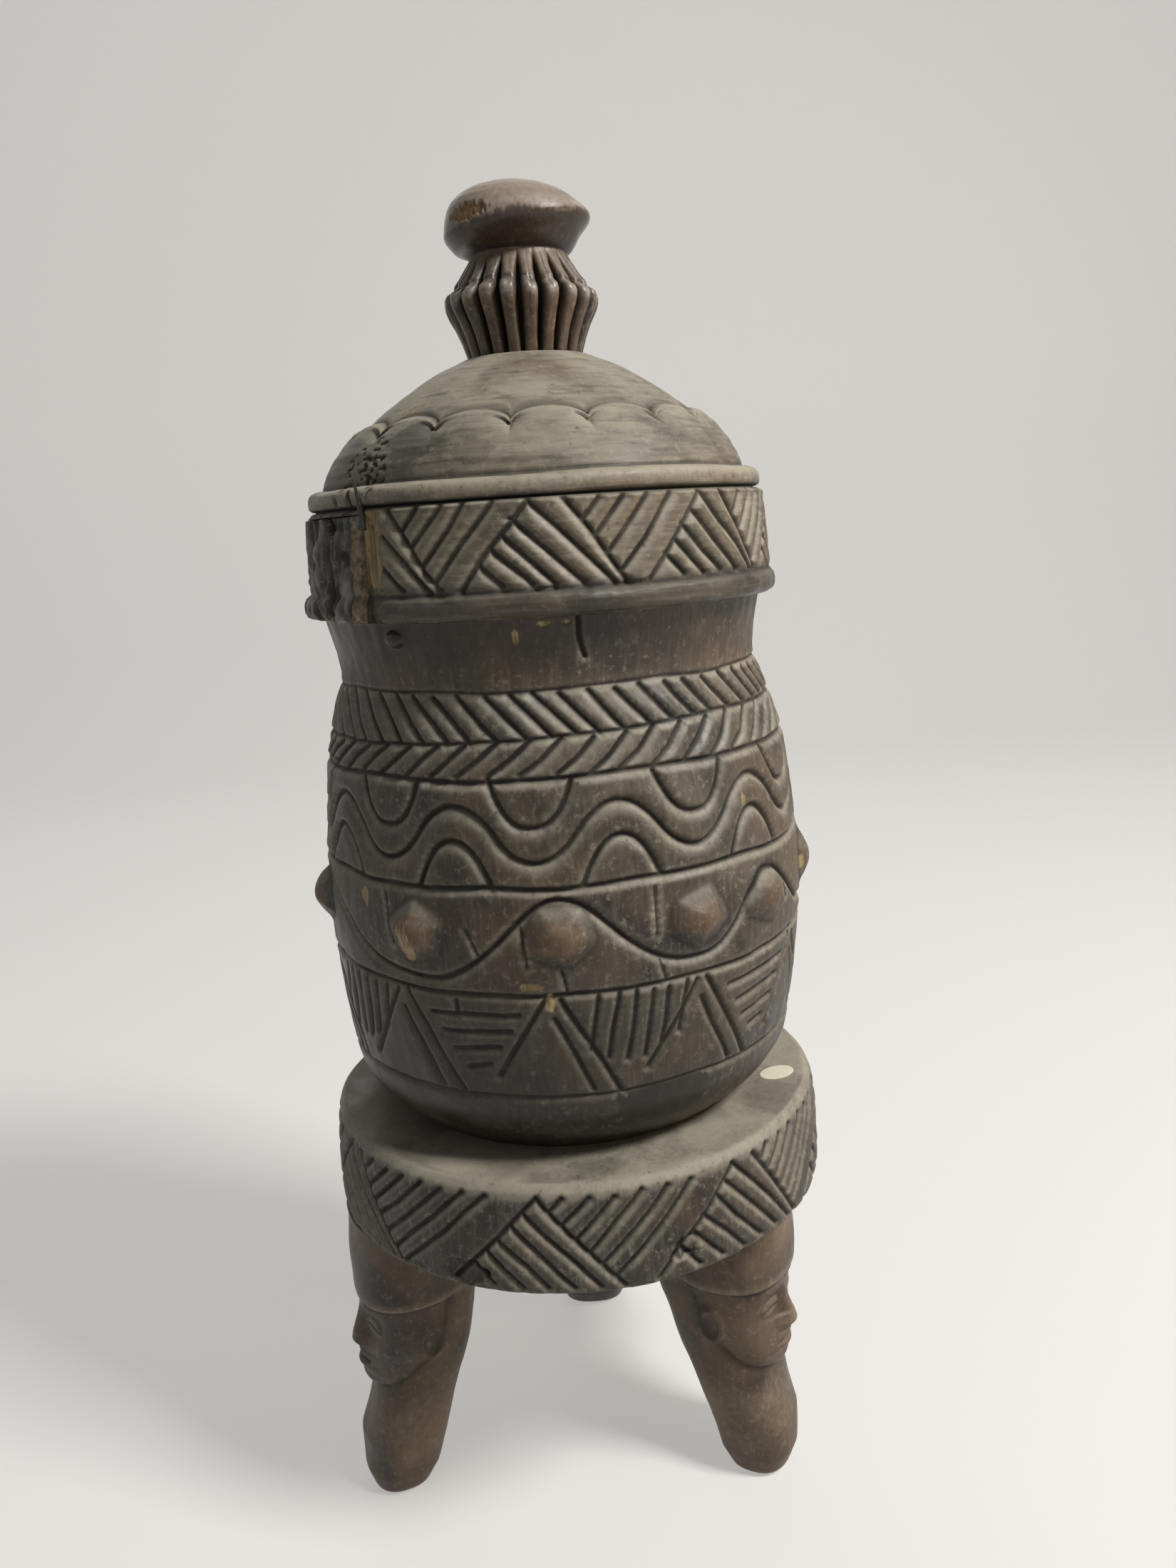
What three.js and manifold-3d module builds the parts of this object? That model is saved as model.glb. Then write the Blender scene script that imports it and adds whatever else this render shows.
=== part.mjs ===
// A carved wooden ritual pot with a lid: a barrel-shaped bowl with a row of bosses,
// standing on a thick round plate with three legs. Each leg is carved as a head above
// a tapering foot. A wave and pointed arches are cut into the bowl, and a zigzag into
// the plate's rim. The domed lid has a scalloped tier, a banded skirt that drops over
// the bowl's lip, and a ribbed knob with a cap shaped like a mushroom.
// Millimetres, +Z up, the origin on the pot's axis at floor level, the front towards -Y.

import * as THREE from "three";
import { mergeVertices } from "three/addons/utils/BufferGeometryUtils.js";
import Module from "manifold-3d";

const wasm = await Module();
wasm.setup();

// Driving dimensions

const seatGap = 0.3; // left round each piece that is set into the lid's break

const legHeight = 144;
const chinHeight = 55;
const browHeight = 104; // the cap's lower edge
const capProud = 2.5;
const legInset = 34.2; // from the plate's rim in to the middle of the head

const plateThickness = 48;
const plateRadius = 118.2;
const plateTopRadius = 115.5;
const plateEdge = 2.5; // rounding of the plate's two edges

const bowlHeight = 228; // from the plate to the shoulder that carries the lid
const bowlFootRadius = 81;
const bellyRadius = 110.6;
const bellyHeight = 98; // above the bowl's foot
const bellyLean = 2; // the carved belly bulges this much further to the right
const waistRadius = 94;
const waistHeight = 203;
const shoulderRadius = 98;
const bowlWall = 14;
const bowlFloor = 24;

const lipHeight = 28;
const lipRadius = 90.5;
const lipWall = 10;
const lipClearance = 1.5; // between the lip and the lid's skirt, all round

const bossCentreHeight = 106; // above the bowl's foot
const bossRadius = 14;
const bossReach = 5.4;
const bossSink = 4; // how far a boss's foot lies inside the bowl's surface

const skirtHeight = 43.5;
const skirtRadius = 104.6;
const skirtTopRadius = 101.5;
const hemHeight = 8;
const hemProud = 1.6;
const ringHeight = 10;
const ringRadius = 100;
const tierRadius = 93.5; // where the scalloped tier rises from the ring
const tierHeight = 25.5; // from the ring to the scallops' tops
const tierProud = 4; // the step from the tier's edge down to the dome
const scallops = 16;
const scallopDepth = 5.5;
const scallopTurn = -4; // angle of one notch between two scallops
const domeHeight = 51.5; // from the ring to the knob's foot
const lidWall = 13;
const lidRoof = 15;

const knobFootRadius = 25.5;
const knobRibRadius = 33.7;
const knobNeckRadius = 21.5;
const knobCapRadius = 31.8;
const knobRibHeight = 42; // the ribbed part and the neck above it
const knobCapHeight = 30;
const capLean = 4; // the cap's crown stands this far to the left of its rim
const knobRibs = 21;
const knobGroove = 7;

const lineDepth = 2.4; // carved lines on the bowl and the plate's rim
const lineWidth = 6;
const cutterProud = 3; // how far the cutter stands out of the surface that it cuts
const waves = 10;
const waveTurn = -22.5; // angle of one crest
const waveHeight = 145.3; // middle of the wave, above the bowl's foot
const waveSwing = 11.2;
const lowRing = 81; // rings cut round the bowl, above its foot
const middleRing = 124;
const highRing = 166;
const archFoot = 36; // above the bowl's foot

const lathe = 64; // segments round the lid
const bowlLathe = 48; // round the bowl and the plate
const hollowLathe = 32; // round the hollows inside and the knob's cap

// Angles round the pot in degrees: 0 is the front, and they grow towards +X

// shift moves a leg away from the pot's axis, footOut its foot alone, and inward
// widens its top towards the axis
const legs = [
  { name: "leg_front_left", angle: -68, shift: 9, footOut: 3, inward: 0 },
  { name: "leg_front_right", angle: 62, shift: -1, footOut: -2, inward: 10 },
  { name: "leg_back", angle: 180, shift: 0, footOut: 0, inward: 4 },
];
const bossAngles = [-76, -32.4, -0.6, 29.8, 51, 82, 117, 152, 187, 222, 253];
const archAngles = [-39, -3, 30.5, 66, 102, 139, 176, 213, 250, 286]; // of the arches' tips
const archSides = [13, 14]; // how far an arch's left and right foot stand from its tip
// Tips of the zigzag on the plate's rim, and the width of the bar that some carry
const zigzagAngles = [-106, -62, -8.5, 35, 80, 124, 168, 211];
const zigzagBars = [4, 5.5, 0, 6, 0, 5, 0, 5];
const zigzagSides = [19, 17.5]; // how far its left and right foot stand from a tip
const breakEdge = -35.4; // the lid's skirt is broken from here
const rawWoodEdge = -41; // bare wood up to here, then glue
const glueEdge = -45; // glue up to here, then the piece that was glued back
const breakEnd = -92;
const rawWoodDepth = 4; // how deep the bare wood lies below the skirt's surface
const breakShort = 1.5; // the break ends this far below the skirt's top

// Levels worked out from the dimensions

const plateTop = legHeight + plateThickness;
const shoulderLevel = plateTop + bowlHeight;
const skirtTop = shoulderLevel + skirtHeight;
const ringTop = skirtTop + ringHeight;
const domeTop = ringTop + domeHeight;
const skirtBore = lipRadius + lipClearance;

const wood = (colour, roughness) =>
  new THREE.MeshStandardMaterial({ color: colour, roughness, metalness: 0 });
const darkWood = wood(0x4a4138, 0.6);
const greyWood = wood(0x6a6253, 0.65);
const brownWood = wood(0x5b4534, 0.6);
const charredWood = wood(0x2f2a25, 0.7);
const oldGlue = wood(0x8a7d66, 0.8);

// Solids and meshes

const xyOf = (radius, degrees) => {
  const a = THREE.MathUtils.degToRad(degrees - 90);
  return [radius * Math.cos(a), radius * Math.sin(a)];
};

function solidOf(geometry) {
  const bare = geometry.clone();
  bare.deleteAttribute("normal");
  bare.deleteAttribute("uv");
  const merged = mergeVertices(bare, 1e-4);
  const corners = merged.index.array;
  const kept = [];
  for (let i = 0; i < corners.length; i += 3) {
    const [a, b, c] = corners.slice(i, i + 3);
    if (a !== b && b !== c && c !== a) kept.push(a, b, c);
  }
  const mesh = new wasm.Mesh({
    numProp: 3,
    vertProperties: new Float32Array(merged.attributes.position.array),
    triVerts: new Uint32Array(kept),
  });
  return new wasm.Manifold(mesh);
}

function geometryOf(solid) {
  const mesh = solid.getMesh();
  return new THREE.BufferGeometry()
    .setAttribute("position", new THREE.BufferAttribute(mesh.vertProperties, 3))
    .setIndex(new THREE.BufferAttribute(mesh.triVerts, 1));
}

function meshOf(name, solid, material) {
  const mesh = new THREE.Mesh(geometryOf(solid), material);
  mesh.name = name;
  return mesh;
}

// A profile of [radius, height] points turned round the pot's axis.
function turned(profile, segments) {
  const points = profile.map(([r, z]) => new THREE.Vector2(r, z));
  return solidOf(new THREE.LatheGeometry(points, segments).rotateX(Math.PI / 2));
}

// A smooth run of [radius, height] points through a few chosen ones.
function smooth(points, count) {
  const curve = new THREE.SplineCurve(points.map(([r, z]) => new THREE.Vector2(r, z)));
  return curve.getSpacedPoints(count).map((p) => [p.x, p.y]);
}

// The radius at a level of a profile of [radius, level] points.
function radiusOn(profile, z) {
  const above = profile.findIndex((row) => row[1] >= z);
  if (above < 1) return profile.at(above)[0];
  const [[r0, z0], [r1, z1]] = [profile[above - 1], profile[above]];
  return r0 + ((r1 - r0) * (z - z0)) / (z1 - z0);
}

// A closed skin over rings of equally many [x, y, z] points, numbered against the clock.
// The rings follow each other up an outer side and down an inner one. An endless skin
// joins its last ring to its first.
function skinned(rings, endless = false) {
  const count = rings[0].length;
  const positions = rings.flat(2);
  const faces = [];
  for (let level = 0; level + (endless ? 0 : 1) < rings.length; level++)
    for (let i = 0; i < count; i++) {
      const next = (i + 1) % count;
      const [low, high] = [level * count, ((level + 1) % rings.length) * count];
      faces.push(low + i, low + next, high + next, low + i, high + next, high + i);
    }
  const top = (rings.length - 1) * count;
  for (let i = 1; i + 1 < count && !endless; i++)
    faces.push(0, i + 1, i, top, top + i, top + i + 1);
  const skin = new THREE.BufferGeometry()
    .setAttribute("position", new THREE.Float32BufferAttribute(positions, 3))
    .setIndex(faces);
  return solidOf(skin);
}

// A ring of points round the pot's axis, whose level may change with the angle.
function roundRing(radiusOf, levelOf, aside = 0, segments = lathe) {
  return Array.from({ length: segments }, (_, i) => {
    const degrees = scallopTurn + (i / segments) * 360;
    const z = levelOf(degrees);
    const [x, y] = xyOf(radiusOf(z), degrees);
    return [x + aside, y, z];
  });
}

const levelRing = ([radius, z], segments = lathe, aside = 0) =>
  roundRing(() => radius, () => z, aside, segments);

// A hollow to cut out, from its bottom up.
function hollowSolid(profile) {
  return skinned(profile.map((row) => levelRing(row, hollowLathe)));
}

// A V-shaped cut along a path of [degrees, level] points on a turned surface.
function carvedLine(path, radiusAt, { aside = () => 0, endless = false } = {}) {
  const point = (i) => path[endless ? (i + path.length) % path.length : i];
  const rings = path.map(([degrees, z], i) => {
    const before = point(endless ? i - 1 : Math.max(0, i - 1));
    const after = point(endless ? i + 1 : Math.min(path.length - 1, i + 1));
    const radius = radiusAt(z);
    const turn = (((after[0] - before[0] + 540) % 360) - 180) * THREE.MathUtils.DEG2RAD;
    const along = new THREE.Vector2(turn * radius, after[1] - before[1]).normalize();
    const corner = (side, out) => {
      const wide = side * (lineWidth / 2) * (1 + out / lineDepth);
      const across = THREE.MathUtils.radToDeg((wide * -along.y) / radius);
      const [x, y] = xyOf(radius + out, degrees + across);
      return [x + aside(z), y, z + wide * along.x];
    };
    return [corner(-1, cutterProud), corner(0, -lineDepth), corner(1, cutterProud)];
  });
  return skinned(rings, endless);
}

// A wedge of the ring between two radii, two angles and two levels.
function wedge(inner, outer, from, to, low, high) {
  const [a, b] = [from, to].map((d) => THREE.MathUtils.degToRad(d - 90));
  const shape = new THREE.Shape();
  shape.absarc(0, 0, outer, a, b, false);
  shape.absarc(0, 0, inner, b, a, true);
  shape.closePath();
  const steps = Math.ceil(Math.abs(to - from) / (360 / lathe)) + 1;
  const block = new THREE.ExtrudeGeometry(shape, {
    depth: high - low,
    bevelEnabled: false,
    curveSegments: steps,
  });
  return solidOf(block.translate(0, 0, low));
}

// Legs: a post that widens into a foot, and a head with a close cap on its outer side

const smoothStep = (x, low, high) => THREE.MathUtils.smoothstep(x, low, high);
const bump = (x, centre, width) => Math.exp(-(((x - centre) / width) ** 2));

// Level, then how far the inner and outer side stand off the head's middle, then the width.
const postSections = [
  [0, 1, 21, 22],
  [legHeight * 0.017, -4, 24.5, 34],
  [legHeight * 0.07, -8.5, 27, 40],
  [legHeight * 0.18, -14, 27, 44],
  [legHeight * 0.31, -19, 22, 44],
  [legHeight * 0.43, -25, 17, 46],
  [legHeight * 0.625, -32, 14, 50],
  [legHeight, -39, 14, 54],
];
const faceHeight = browHeight - chinHeight;
const headSections = [
  [chinHeight, 4, 17, 15],
  [chinHeight + faceHeight * 0.04, -1, 20.5, 25],
  [chinHeight + faceHeight * 0.12, -7, 22.5, 36],
  [chinHeight + faceHeight * 0.22, -13, 23, 43],
  [chinHeight + faceHeight * 0.51, -20, 23, 52],
  [browHeight, -24, 23, 57],
  [legHeight, -24, 22, 58],
];

// The section at any level, between two rows of such a list.
function sectionAt(sections, z) {
  const above = Math.max(1, sections.findIndex((row) => row[0] >= z));
  const [low, high] = [sections[above - 1], sections[above]];
  const share = (z - low[0]) / (high[0] - low[0]);
  return low.map((value, i) => THREE.MathUtils.lerp(value, high[i], share));
}

// A level ring of points, denser on the outer side, which is +X here.
function roundedRing([z, inner, outer, width], count, relief = () => 0) {
  const power = (v) => Math.sign(v) * Math.abs(v) ** 0.8;
  return Array.from({ length: count }, (_, i) => {
    const u = (i / count) * 2 * Math.PI;
    const t = u - 0.35 * Math.sin(u);
    const y = (width / 2) * power(Math.sin(t));
    const x = (inner + outer) / 2 + ((outer - inner) / 2) * power(Math.cos(t));
    const out = relief(z, y, Math.cos(t));
    const swell = 1 + (out.all ?? 0) / (width / 2);
    return [x * swell + (out.front ?? 0), y * swell, z];
  });
}

// How far the carving stands off the head: the cap all round, the face on the outer side.
function headRelief(z, y, facing) {
  const up = (z - chinHeight) / faceHeight; // 0 at the chin, 1 at the cap
  const side = Math.abs(y);
  const nose = smoothStep(up, 0.44, 0.5) * (1 - smoothStep(up, 0.5, 1));
  const lips = bump(up, 0.25, 0.05) + bump(up, 0.38, 0.05);
  const front =
    6.5 * nose * bump(side, 0, 5) +
    3 * lips * bump(side, 0, 9) +
    2 * bump(up, 0.05, 0.12) * bump(side, 0, 9) +
    2 * bump(up, 0.76, 0.09) * bump(side, 12, 5) -
    2.5 * bump(up, 0.78, 0.16) * bump(side, 12, 8);
  return {
    all: capProud * smoothStep(z, browHeight, browHeight + 1.5),
    front: z < browHeight ? front * Math.max(0, facing) ** 0.6 : 0,
  };
}

function legSolid({ shift, footOut, inward }) {
  const place = plateRadius - legInset + shift;
  const moved = (ring) =>
    ring.map(([x, y, z]) => [x + place + footOut * (1 - z / legHeight), y, z]);
  const post = postSections.map(([z, inner, outer, width]) => {
    const broadInner = inner - inward * smoothStep(z, 20, legHeight);
    return moved(roundedRing([z, broadInner, outer, width], 16));
  });
  const faceShares = [0.18, 0.25, 0.32, 0.38, 0.43, 0.5, 0.62, 0.72, 0.8, 0.9, 1];
  const levels = [
    ...headSections.slice(0, 3).map((row) => row[0]),
    ...faceShares.map((share) => chinHeight + share * faceHeight),
    browHeight + 1.5,
    legHeight,
  ];
  const head = levels.map((z) =>
    moved(roundedRing(sectionAt(headSections, z), 24, headRelief)),
  );
  return skinned(post).add(skinned(head));
}

function legMesh(leg) {
  const mesh = meshOf(leg.name, legSolid(leg), brownWood);
  mesh.rotation.z = THREE.MathUtils.degToRad(leg.angle - 90);
  return mesh;
}

// Stand plate: a thick disc whose rim swells between its two flat faces

function standPlate() {
  const low = legHeight;
  const swell = low + plateThickness * 0.45; // level of the rim's widest place
  const rim = [
    [plateRadius - 1, low + plateEdge * 0.6],
    [plateRadius, swell],
    [plateTopRadius + 0.6, plateTop - plateEdge * 1.4],
  ];
  const profile = [
    [0, low],
    [plateRadius - plateEdge - 1, low],
    ...rim,
    [plateTopRadius - 0.6, plateTop - plateEdge * 0.4],
    [plateTopRadius - plateEdge, plateTop],
    [0, plateTop],
  ];
  const foot = low + plateEdge * 1.4;
  const tip = plateTop - plateEdge * 2.2;
  const sloping = (from, to) => [
    [from, foot],
    [THREE.MathUtils.mapLinear(swell, foot, tip, from, to), swell],
    [to, tip],
  ];
  const slopes = zigzagAngles.flatMap((degrees, i) => {
    const [left, right] = [degrees - zigzagSides[0], degrees + zigzagSides[1]];
    const bar = sloping(right + zigzagBars[i] / 2, degrees + zigzagBars[i]);
    const pair = [sloping(left, degrees), sloping(right, degrees)];
    return zigzagBars[i] ? [...pair, bar] : pair;
  });
  const radiusAt = (z) => radiusOn(rim, z);
  const plate = turned(profile, bowlLathe);
  return slopes.reduce((whole, path) => whole.subtract(carvedLine(path, radiusAt)), plate);
}

// Bowl: a barrel with a drawn-in waist, a shoulder for the lid and a lip inside it

function bowlOutline() {
  const level = (h) => plateTop + h;
  return smooth(
    [
      [bowlFootRadius, level(0)],
      [bowlFootRadius + (bellyRadius - bowlFootRadius) * 0.6, level(bellyHeight * 0.17)],
      [bellyRadius - 5, level(bellyHeight * 0.4)],
      [bellyRadius, level(bellyHeight)],
      [bellyRadius - 4, level(THREE.MathUtils.lerp(bellyHeight, waistHeight, 0.54))],
      [waistRadius + 5, level(waistHeight * 0.92)],
      [waistRadius, level(waistHeight)],
      [shoulderRadius, level(bowlHeight)],
    ],
    40,
  );
}

// Rows of the outline at chosen levels, with a V-shaped cut at each ring.
function bowlRows() {
  const outline = bowlOutline();
  const at = (h, deep = 0) => {
    const z = plateTop + h;
    return [radiusOn(outline, z) - deep, z];
  };
  const line = (h) => [at(h - lineWidth / 2), at(h, lineDepth), at(h + lineWidth / 2)];
  const foot = [0, 0.07, 0.18, 0.42, 1].map((share) => bellyHeight * share);
  const neck = [(highRing + waistHeight) / 2, waistHeight];
  const flare = [(waistHeight + bowlHeight) / 2, bowlHeight];
  const plain = [...foot, ...neck, ...flare].map((h) => at(h));
  const cut = [lowRing, middleRing, highRing].flatMap(line);
  return [...plain, ...cut].sort((low, high) => low[1] - high[1]);
}

function bowlHollow() {
  const floor = plateTop + bowlFloor;
  const mouth = lipRadius - lipWall;
  return smooth(
    [
      [bowlFootRadius - bowlWall, floor],
      [bellyRadius - bowlWall * 1.57, floor + bowlWall * 1.15],
      [bellyRadius - bowlWall, plateTop + bellyHeight],
      [waistRadius - bowlWall, plateTop + waistHeight],
      [mouth, shoulderLevel - 6],
    ],
    7,
  );
}

// A blunt cone standing out from the bowl at each boss angle.
function bosses() {
  const profile = [
    [0, -bossSink],
    [bossRadius, -bossSink],
    [bossRadius, 0],
    [bossRadius * 0.6, bossReach * 0.7],
    [bossRadius * 0.25, bossReach],
    [0, bossReach],
  ].map(([r, h]) => new THREE.Vector2(r, h));
  return bossAngles.map((angle) => {
    const boss = new THREE.LatheGeometry(profile, 7).rotateZ(-Math.PI / 2);
    boss.rotateZ(THREE.MathUtils.degToRad(angle - 90));
    const [x, y] = xyOf(bellyRadius, angle);
    const z = plateTop + bossCentreHeight;
    return solidOf(boss.translate(x + leanAt(z), y, z));
  });
}

// How far the outside of the bowl stands to the right of the pot's axis at a level.
function leanAt(z) {
  const share = THREE.MathUtils.clamp((z - plateTop) / bowlHeight, 0, 1);
  return bellyLean * Math.sin(Math.PI * share);
}

// The wave that winds round the bowl, and two slanting lines for each pointed arch.
function bowlLines() {
  const outline = bowlOutline();
  const place = { aside: leanAt };
  const stepsPerWave = 4;
  const wave = Array.from({ length: waves * stepsPerWave }, (_, i) => {
    const swing = waveSwing * Math.cos((i / stepsPerWave) * 2 * Math.PI);
    return [waveTurn + (i / stepsPerWave) * (360 / waves), plateTop + waveHeight + swing];
  });
  const [tip, foot] = [plateTop + lowRing - lineWidth / 2, plateTop + archFoot];
  const sides = archAngles.flatMap((degrees) => [
    [[degrees - 1.5, tip], [degrees - archSides[0], foot + 8]],
    [[degrees + 1.5, tip], [degrees + archSides[1], foot]],
  ]);
  const radiusAt = (z) => radiusOn(outline, z);
  return [
    carvedLine(wave, radiusAt, { ...place, endless: true }),
    ...sides.map((path) => carvedLine(path, radiusAt, place)),
  ];
}

function bowl() {
  const lipTop = shoulderLevel + lipHeight;
  const mouth = lipRadius - lipWall;
  const outside = bowlRows().map((row) => levelRing(row, bowlLathe, leanAt(row[1])));
  const lip = [
    [lipRadius, shoulderLevel],
    [lipRadius, lipTop],
  ];
  const body = skinned([...outside, ...lip.map((row) => levelRing(row, bowlLathe))]);
  const carved = bowlLines().reduce((whole, line) => whole.subtract(line), body);
  const hollow = hollowSolid([...bowlHollow(), [mouth, lipTop + 1]]);
  return bosses().reduce((whole, boss) => whole.add(boss), carved.subtract(hollow));
}

// Lid: skirt, ring, scalloped tier and dome, all in one skin

const domeProfile = [
  [tierRadius * 0.9, ringTop + domeHeight * 0.25],
  [tierRadius * 0.77, ringTop + domeHeight * 0.48],
  [tierRadius * 0.64, ringTop + domeHeight * 0.66],
  [tierRadius * 0.46, ringTop + domeHeight * 0.87],
  [knobFootRadius + 2, domeTop],
];

const domeRadiusAt = (z) => radiusOn(smooth(domeProfile, 40), z);

// Height of the tier's edge above the ring at an angle: an arch between two notches.
function tierEdge(degrees) {
  const share = (((degrees - scallopTurn) * scallops) / 360 + scallops) % 1;
  return tierHeight - scallopDepth * (1 - Math.sin(Math.PI * share) ** 0.7);
}

function tierRings() {
  const atShare = (share) => (degrees) => ringTop + tierEdge(degrees) * share;
  const side = [
    [0.25, 0.965],
    [0.5, 0.92],
    [0.75, 0.87],
  ];
  const edge = [
    [0.93, tierProud],
    [1, tierProud * 0.6],
    [0.99, -0.5],
  ];
  return [
    ...side.map(([share, wide]) => roundRing(() => tierRadius * wide, atShare(share))),
    ...edge.map(([share, proud]) => roundRing((z) => domeRadiusAt(z) + proud, atShare(share))),
  ];
}

function lidShell() {
  const hollowTop = domeTop - lidRoof;
  const hollow = smooth(
    [
      [skirtBore, shoulderLevel + lipHeight + 4],
      [tierRadius - lidWall - 4, ringTop + domeHeight * 0.16],
      [tierRadius * 0.5, hollowTop - domeHeight * 0.13],
      [4, hollowTop],
    ],
    6,
  );
  const outside = [
    [skirtRadius - 1, shoulderLevel],
    [skirtRadius + hemProud - 0.6, shoulderLevel + 1.5],
    [skirtRadius + hemProud - 0.6, shoulderLevel + hemHeight - 1.5],
    [skirtRadius - 0.8, shoulderLevel + hemHeight],
    [skirtTopRadius, skirtTop - 1],
    [ringRadius - 2, skirtTop + 0.3],
    [ringRadius - 0.6, skirtTop + 3],
    [ringRadius, skirtTop + ringHeight * 0.55],
    [ringRadius - 1.4, ringTop - 1.4],
    [tierRadius, ringTop],
  ];
  const crown = smooth(domeProfile, 6).filter(([, z]) => z > ringTop + tierHeight + 1);
  const body = skinned([
    ...outside.map((row) => levelRing(row)),
    ...tierRings(),
    ...crown.map((row) => levelRing(row)),
  ]);
  return body.subtract(hollowSolid([[skirtBore, shoulderLevel - 1], ...hollow]));
}

// The break in the skirt, and what fills it

function lidParts() {
  const whole = lidShell();
  const reach = skirtRadius + hemProud + 2;
  const gapDegrees = THREE.MathUtils.radToDeg(seatGap / skirtRadius);
  const below = shoulderLevel - 1;
  const top = skirtTop - breakShort;
  const inside = skirtBore - 12;
  const shallow = skirtRadius - rawWoodDepth;
  const throughCut = wedge(inside, reach, breakEnd, rawWoodEdge, below, top);
  const rawCut = wedge(shallow, reach, rawWoodEdge - 1, breakEdge, below, top);
  const piece = (from, to) => {
    const [a, b] = [from + gapDegrees, to - gapDegrees];
    return whole.intersect(wedge(inside, reach, a, b, below, top - seatGap));
  };
  return {
    lid: whole.subtract(throughCut).subtract(rawCut),
    fragment: piece(breakEnd, glueEdge),
    glue: piece(glueEdge, rawWoodEdge),
  };
}

// Knob: upright ribs like bent fingers round a core, a neck, and a cap

function ribbedPart(base, neckLevel) {
  const stepsPerRib = 4;
  const around = knobRibs * stepsPerRib;
  const grooveShape = [1, 0.12, 0, 0.12];
  const rise = neckLevel - base;
  // radius, level, groove depth
  const sections = [
    [knobFootRadius - 1, base, 0.55],
    [knobFootRadius + 3.5, base + rise * 0.22, 0.85],
    [knobRibRadius - 1.2, base + rise * 0.45, 1],
    [knobRibRadius, base + rise * 0.56, 1],
    [knobRibRadius - 1.5, base + rise * 0.66, 1],
    [knobNeckRadius + 4.5, base + rise * 0.82, 0.75],
    [knobNeckRadius + 1, base + rise * 0.94, 0.3],
    [knobNeckRadius, neckLevel, 0],
    [knobNeckRadius, neckLevel + 8, 0],
  ];
  const rings = sections.map(([radius, z, depth]) =>
    Array.from({ length: around }, (_, i) => {
      const groove = knobGroove * depth * grooveShape[i % stepsPerRib];
      return [...xyOf(radius - groove, (i / around) * 360), z];
    }),
  );
  return skinned(rings);
}

function knobCap(neckLevel) {
  const sections = [
    [knobNeckRadius - 1, 0],
    [knobCapRadius - 6, 0.06],
    [knobCapRadius - 1.6, 0.2],
    [knobCapRadius, 0.33],
    [knobCapRadius - 1, 0.47],
    [knobCapRadius * 0.88, 0.68],
    [knobCapRadius * 0.68, 0.84],
    [knobCapRadius * 0.4, 0.96],
    [knobCapRadius * 0.12, 1],
  ];
  const rings = sections.map(([radius, share]) =>
    Array.from({ length: hollowLathe }, (_, i) => {
      const [x, y] = xyOf(radius, (i / hollowLathe) * 360);
      return [x - capLean * smoothStep(share, 0.36, 1), y, neckLevel + knobCapHeight * share];
    }),
  );
  return skinned(rings);
}

function knob() {
  const neckLevel = domeTop + knobRibHeight;
  return ribbedPart(domeTop, neckLevel).add(knobCap(neckLevel));
}

// The pot as a scene graph: the lid and all that it carries lift off together

const { lid, fragment, glue } = lidParts();

const vessel = new THREE.Group();
vessel.add(
  ...legs.map(legMesh),
  meshOf("stand_plate", standPlate(), greyWood),
  meshOf("bowl", bowl(), darkWood),
);

const cover = new THREE.Group();
cover.add(
  meshOf("lid", lid, greyWood),
  meshOf("rim_fragment", fragment, charredWood),
  meshOf("rim_glue", glue, oldGlue),
  meshOf("knob", knob(), brownWood),
);

const pot = new THREE.Group();
pot.add(vessel, cover);

export default pot;
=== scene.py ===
# %% [markdown]
# # A carved wooden ritual pot with a lid
# The real pot is cut from one log: three legs carved as heads, a thick round plate, a
# barrel-shaped bowl with carved bands, and a lid of the same wood with a ribbed knob.
# The frame already holds the plain forms. Here each form is rebuilt as a fine skin, so
# that the carving is real geometry, and gets the finish of old, handled, dusty wood.

import math
from types import SimpleNamespace

import bpy
import numpy as np
from mathutils import Matrix, Vector


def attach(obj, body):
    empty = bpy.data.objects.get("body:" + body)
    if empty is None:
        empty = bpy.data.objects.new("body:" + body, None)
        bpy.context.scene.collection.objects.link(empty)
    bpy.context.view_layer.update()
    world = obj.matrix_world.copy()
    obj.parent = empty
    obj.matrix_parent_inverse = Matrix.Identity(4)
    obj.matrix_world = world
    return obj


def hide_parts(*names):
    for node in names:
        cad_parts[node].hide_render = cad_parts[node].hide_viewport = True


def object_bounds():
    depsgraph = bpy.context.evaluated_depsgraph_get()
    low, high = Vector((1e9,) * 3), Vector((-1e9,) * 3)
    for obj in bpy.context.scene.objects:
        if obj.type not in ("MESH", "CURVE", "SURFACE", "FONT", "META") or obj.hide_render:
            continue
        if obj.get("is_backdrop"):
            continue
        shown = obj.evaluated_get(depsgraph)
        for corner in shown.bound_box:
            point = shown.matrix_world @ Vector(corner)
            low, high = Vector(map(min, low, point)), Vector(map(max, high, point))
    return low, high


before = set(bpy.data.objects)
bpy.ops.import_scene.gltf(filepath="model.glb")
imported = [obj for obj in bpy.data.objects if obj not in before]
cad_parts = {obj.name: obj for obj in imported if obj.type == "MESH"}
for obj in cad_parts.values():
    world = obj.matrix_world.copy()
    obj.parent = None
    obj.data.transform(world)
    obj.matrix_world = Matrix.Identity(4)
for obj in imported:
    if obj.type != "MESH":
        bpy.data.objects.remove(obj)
cad_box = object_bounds()
print("box of the frame:", [tuple(round(v, 4) for v in corner) for corner in cad_box])

# %% [markdown]
# ## Camera
# The photograph was taken from just above the lid, close to the pot, with the camera
# turned a little. A camera is an object like any other: it gets a place, a tilt down and
# a small roll, and the lens is given by its focal length on a 36 mm sensor. These values
# come from the pot's own circles, which look like ellipses of a known height.

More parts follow.
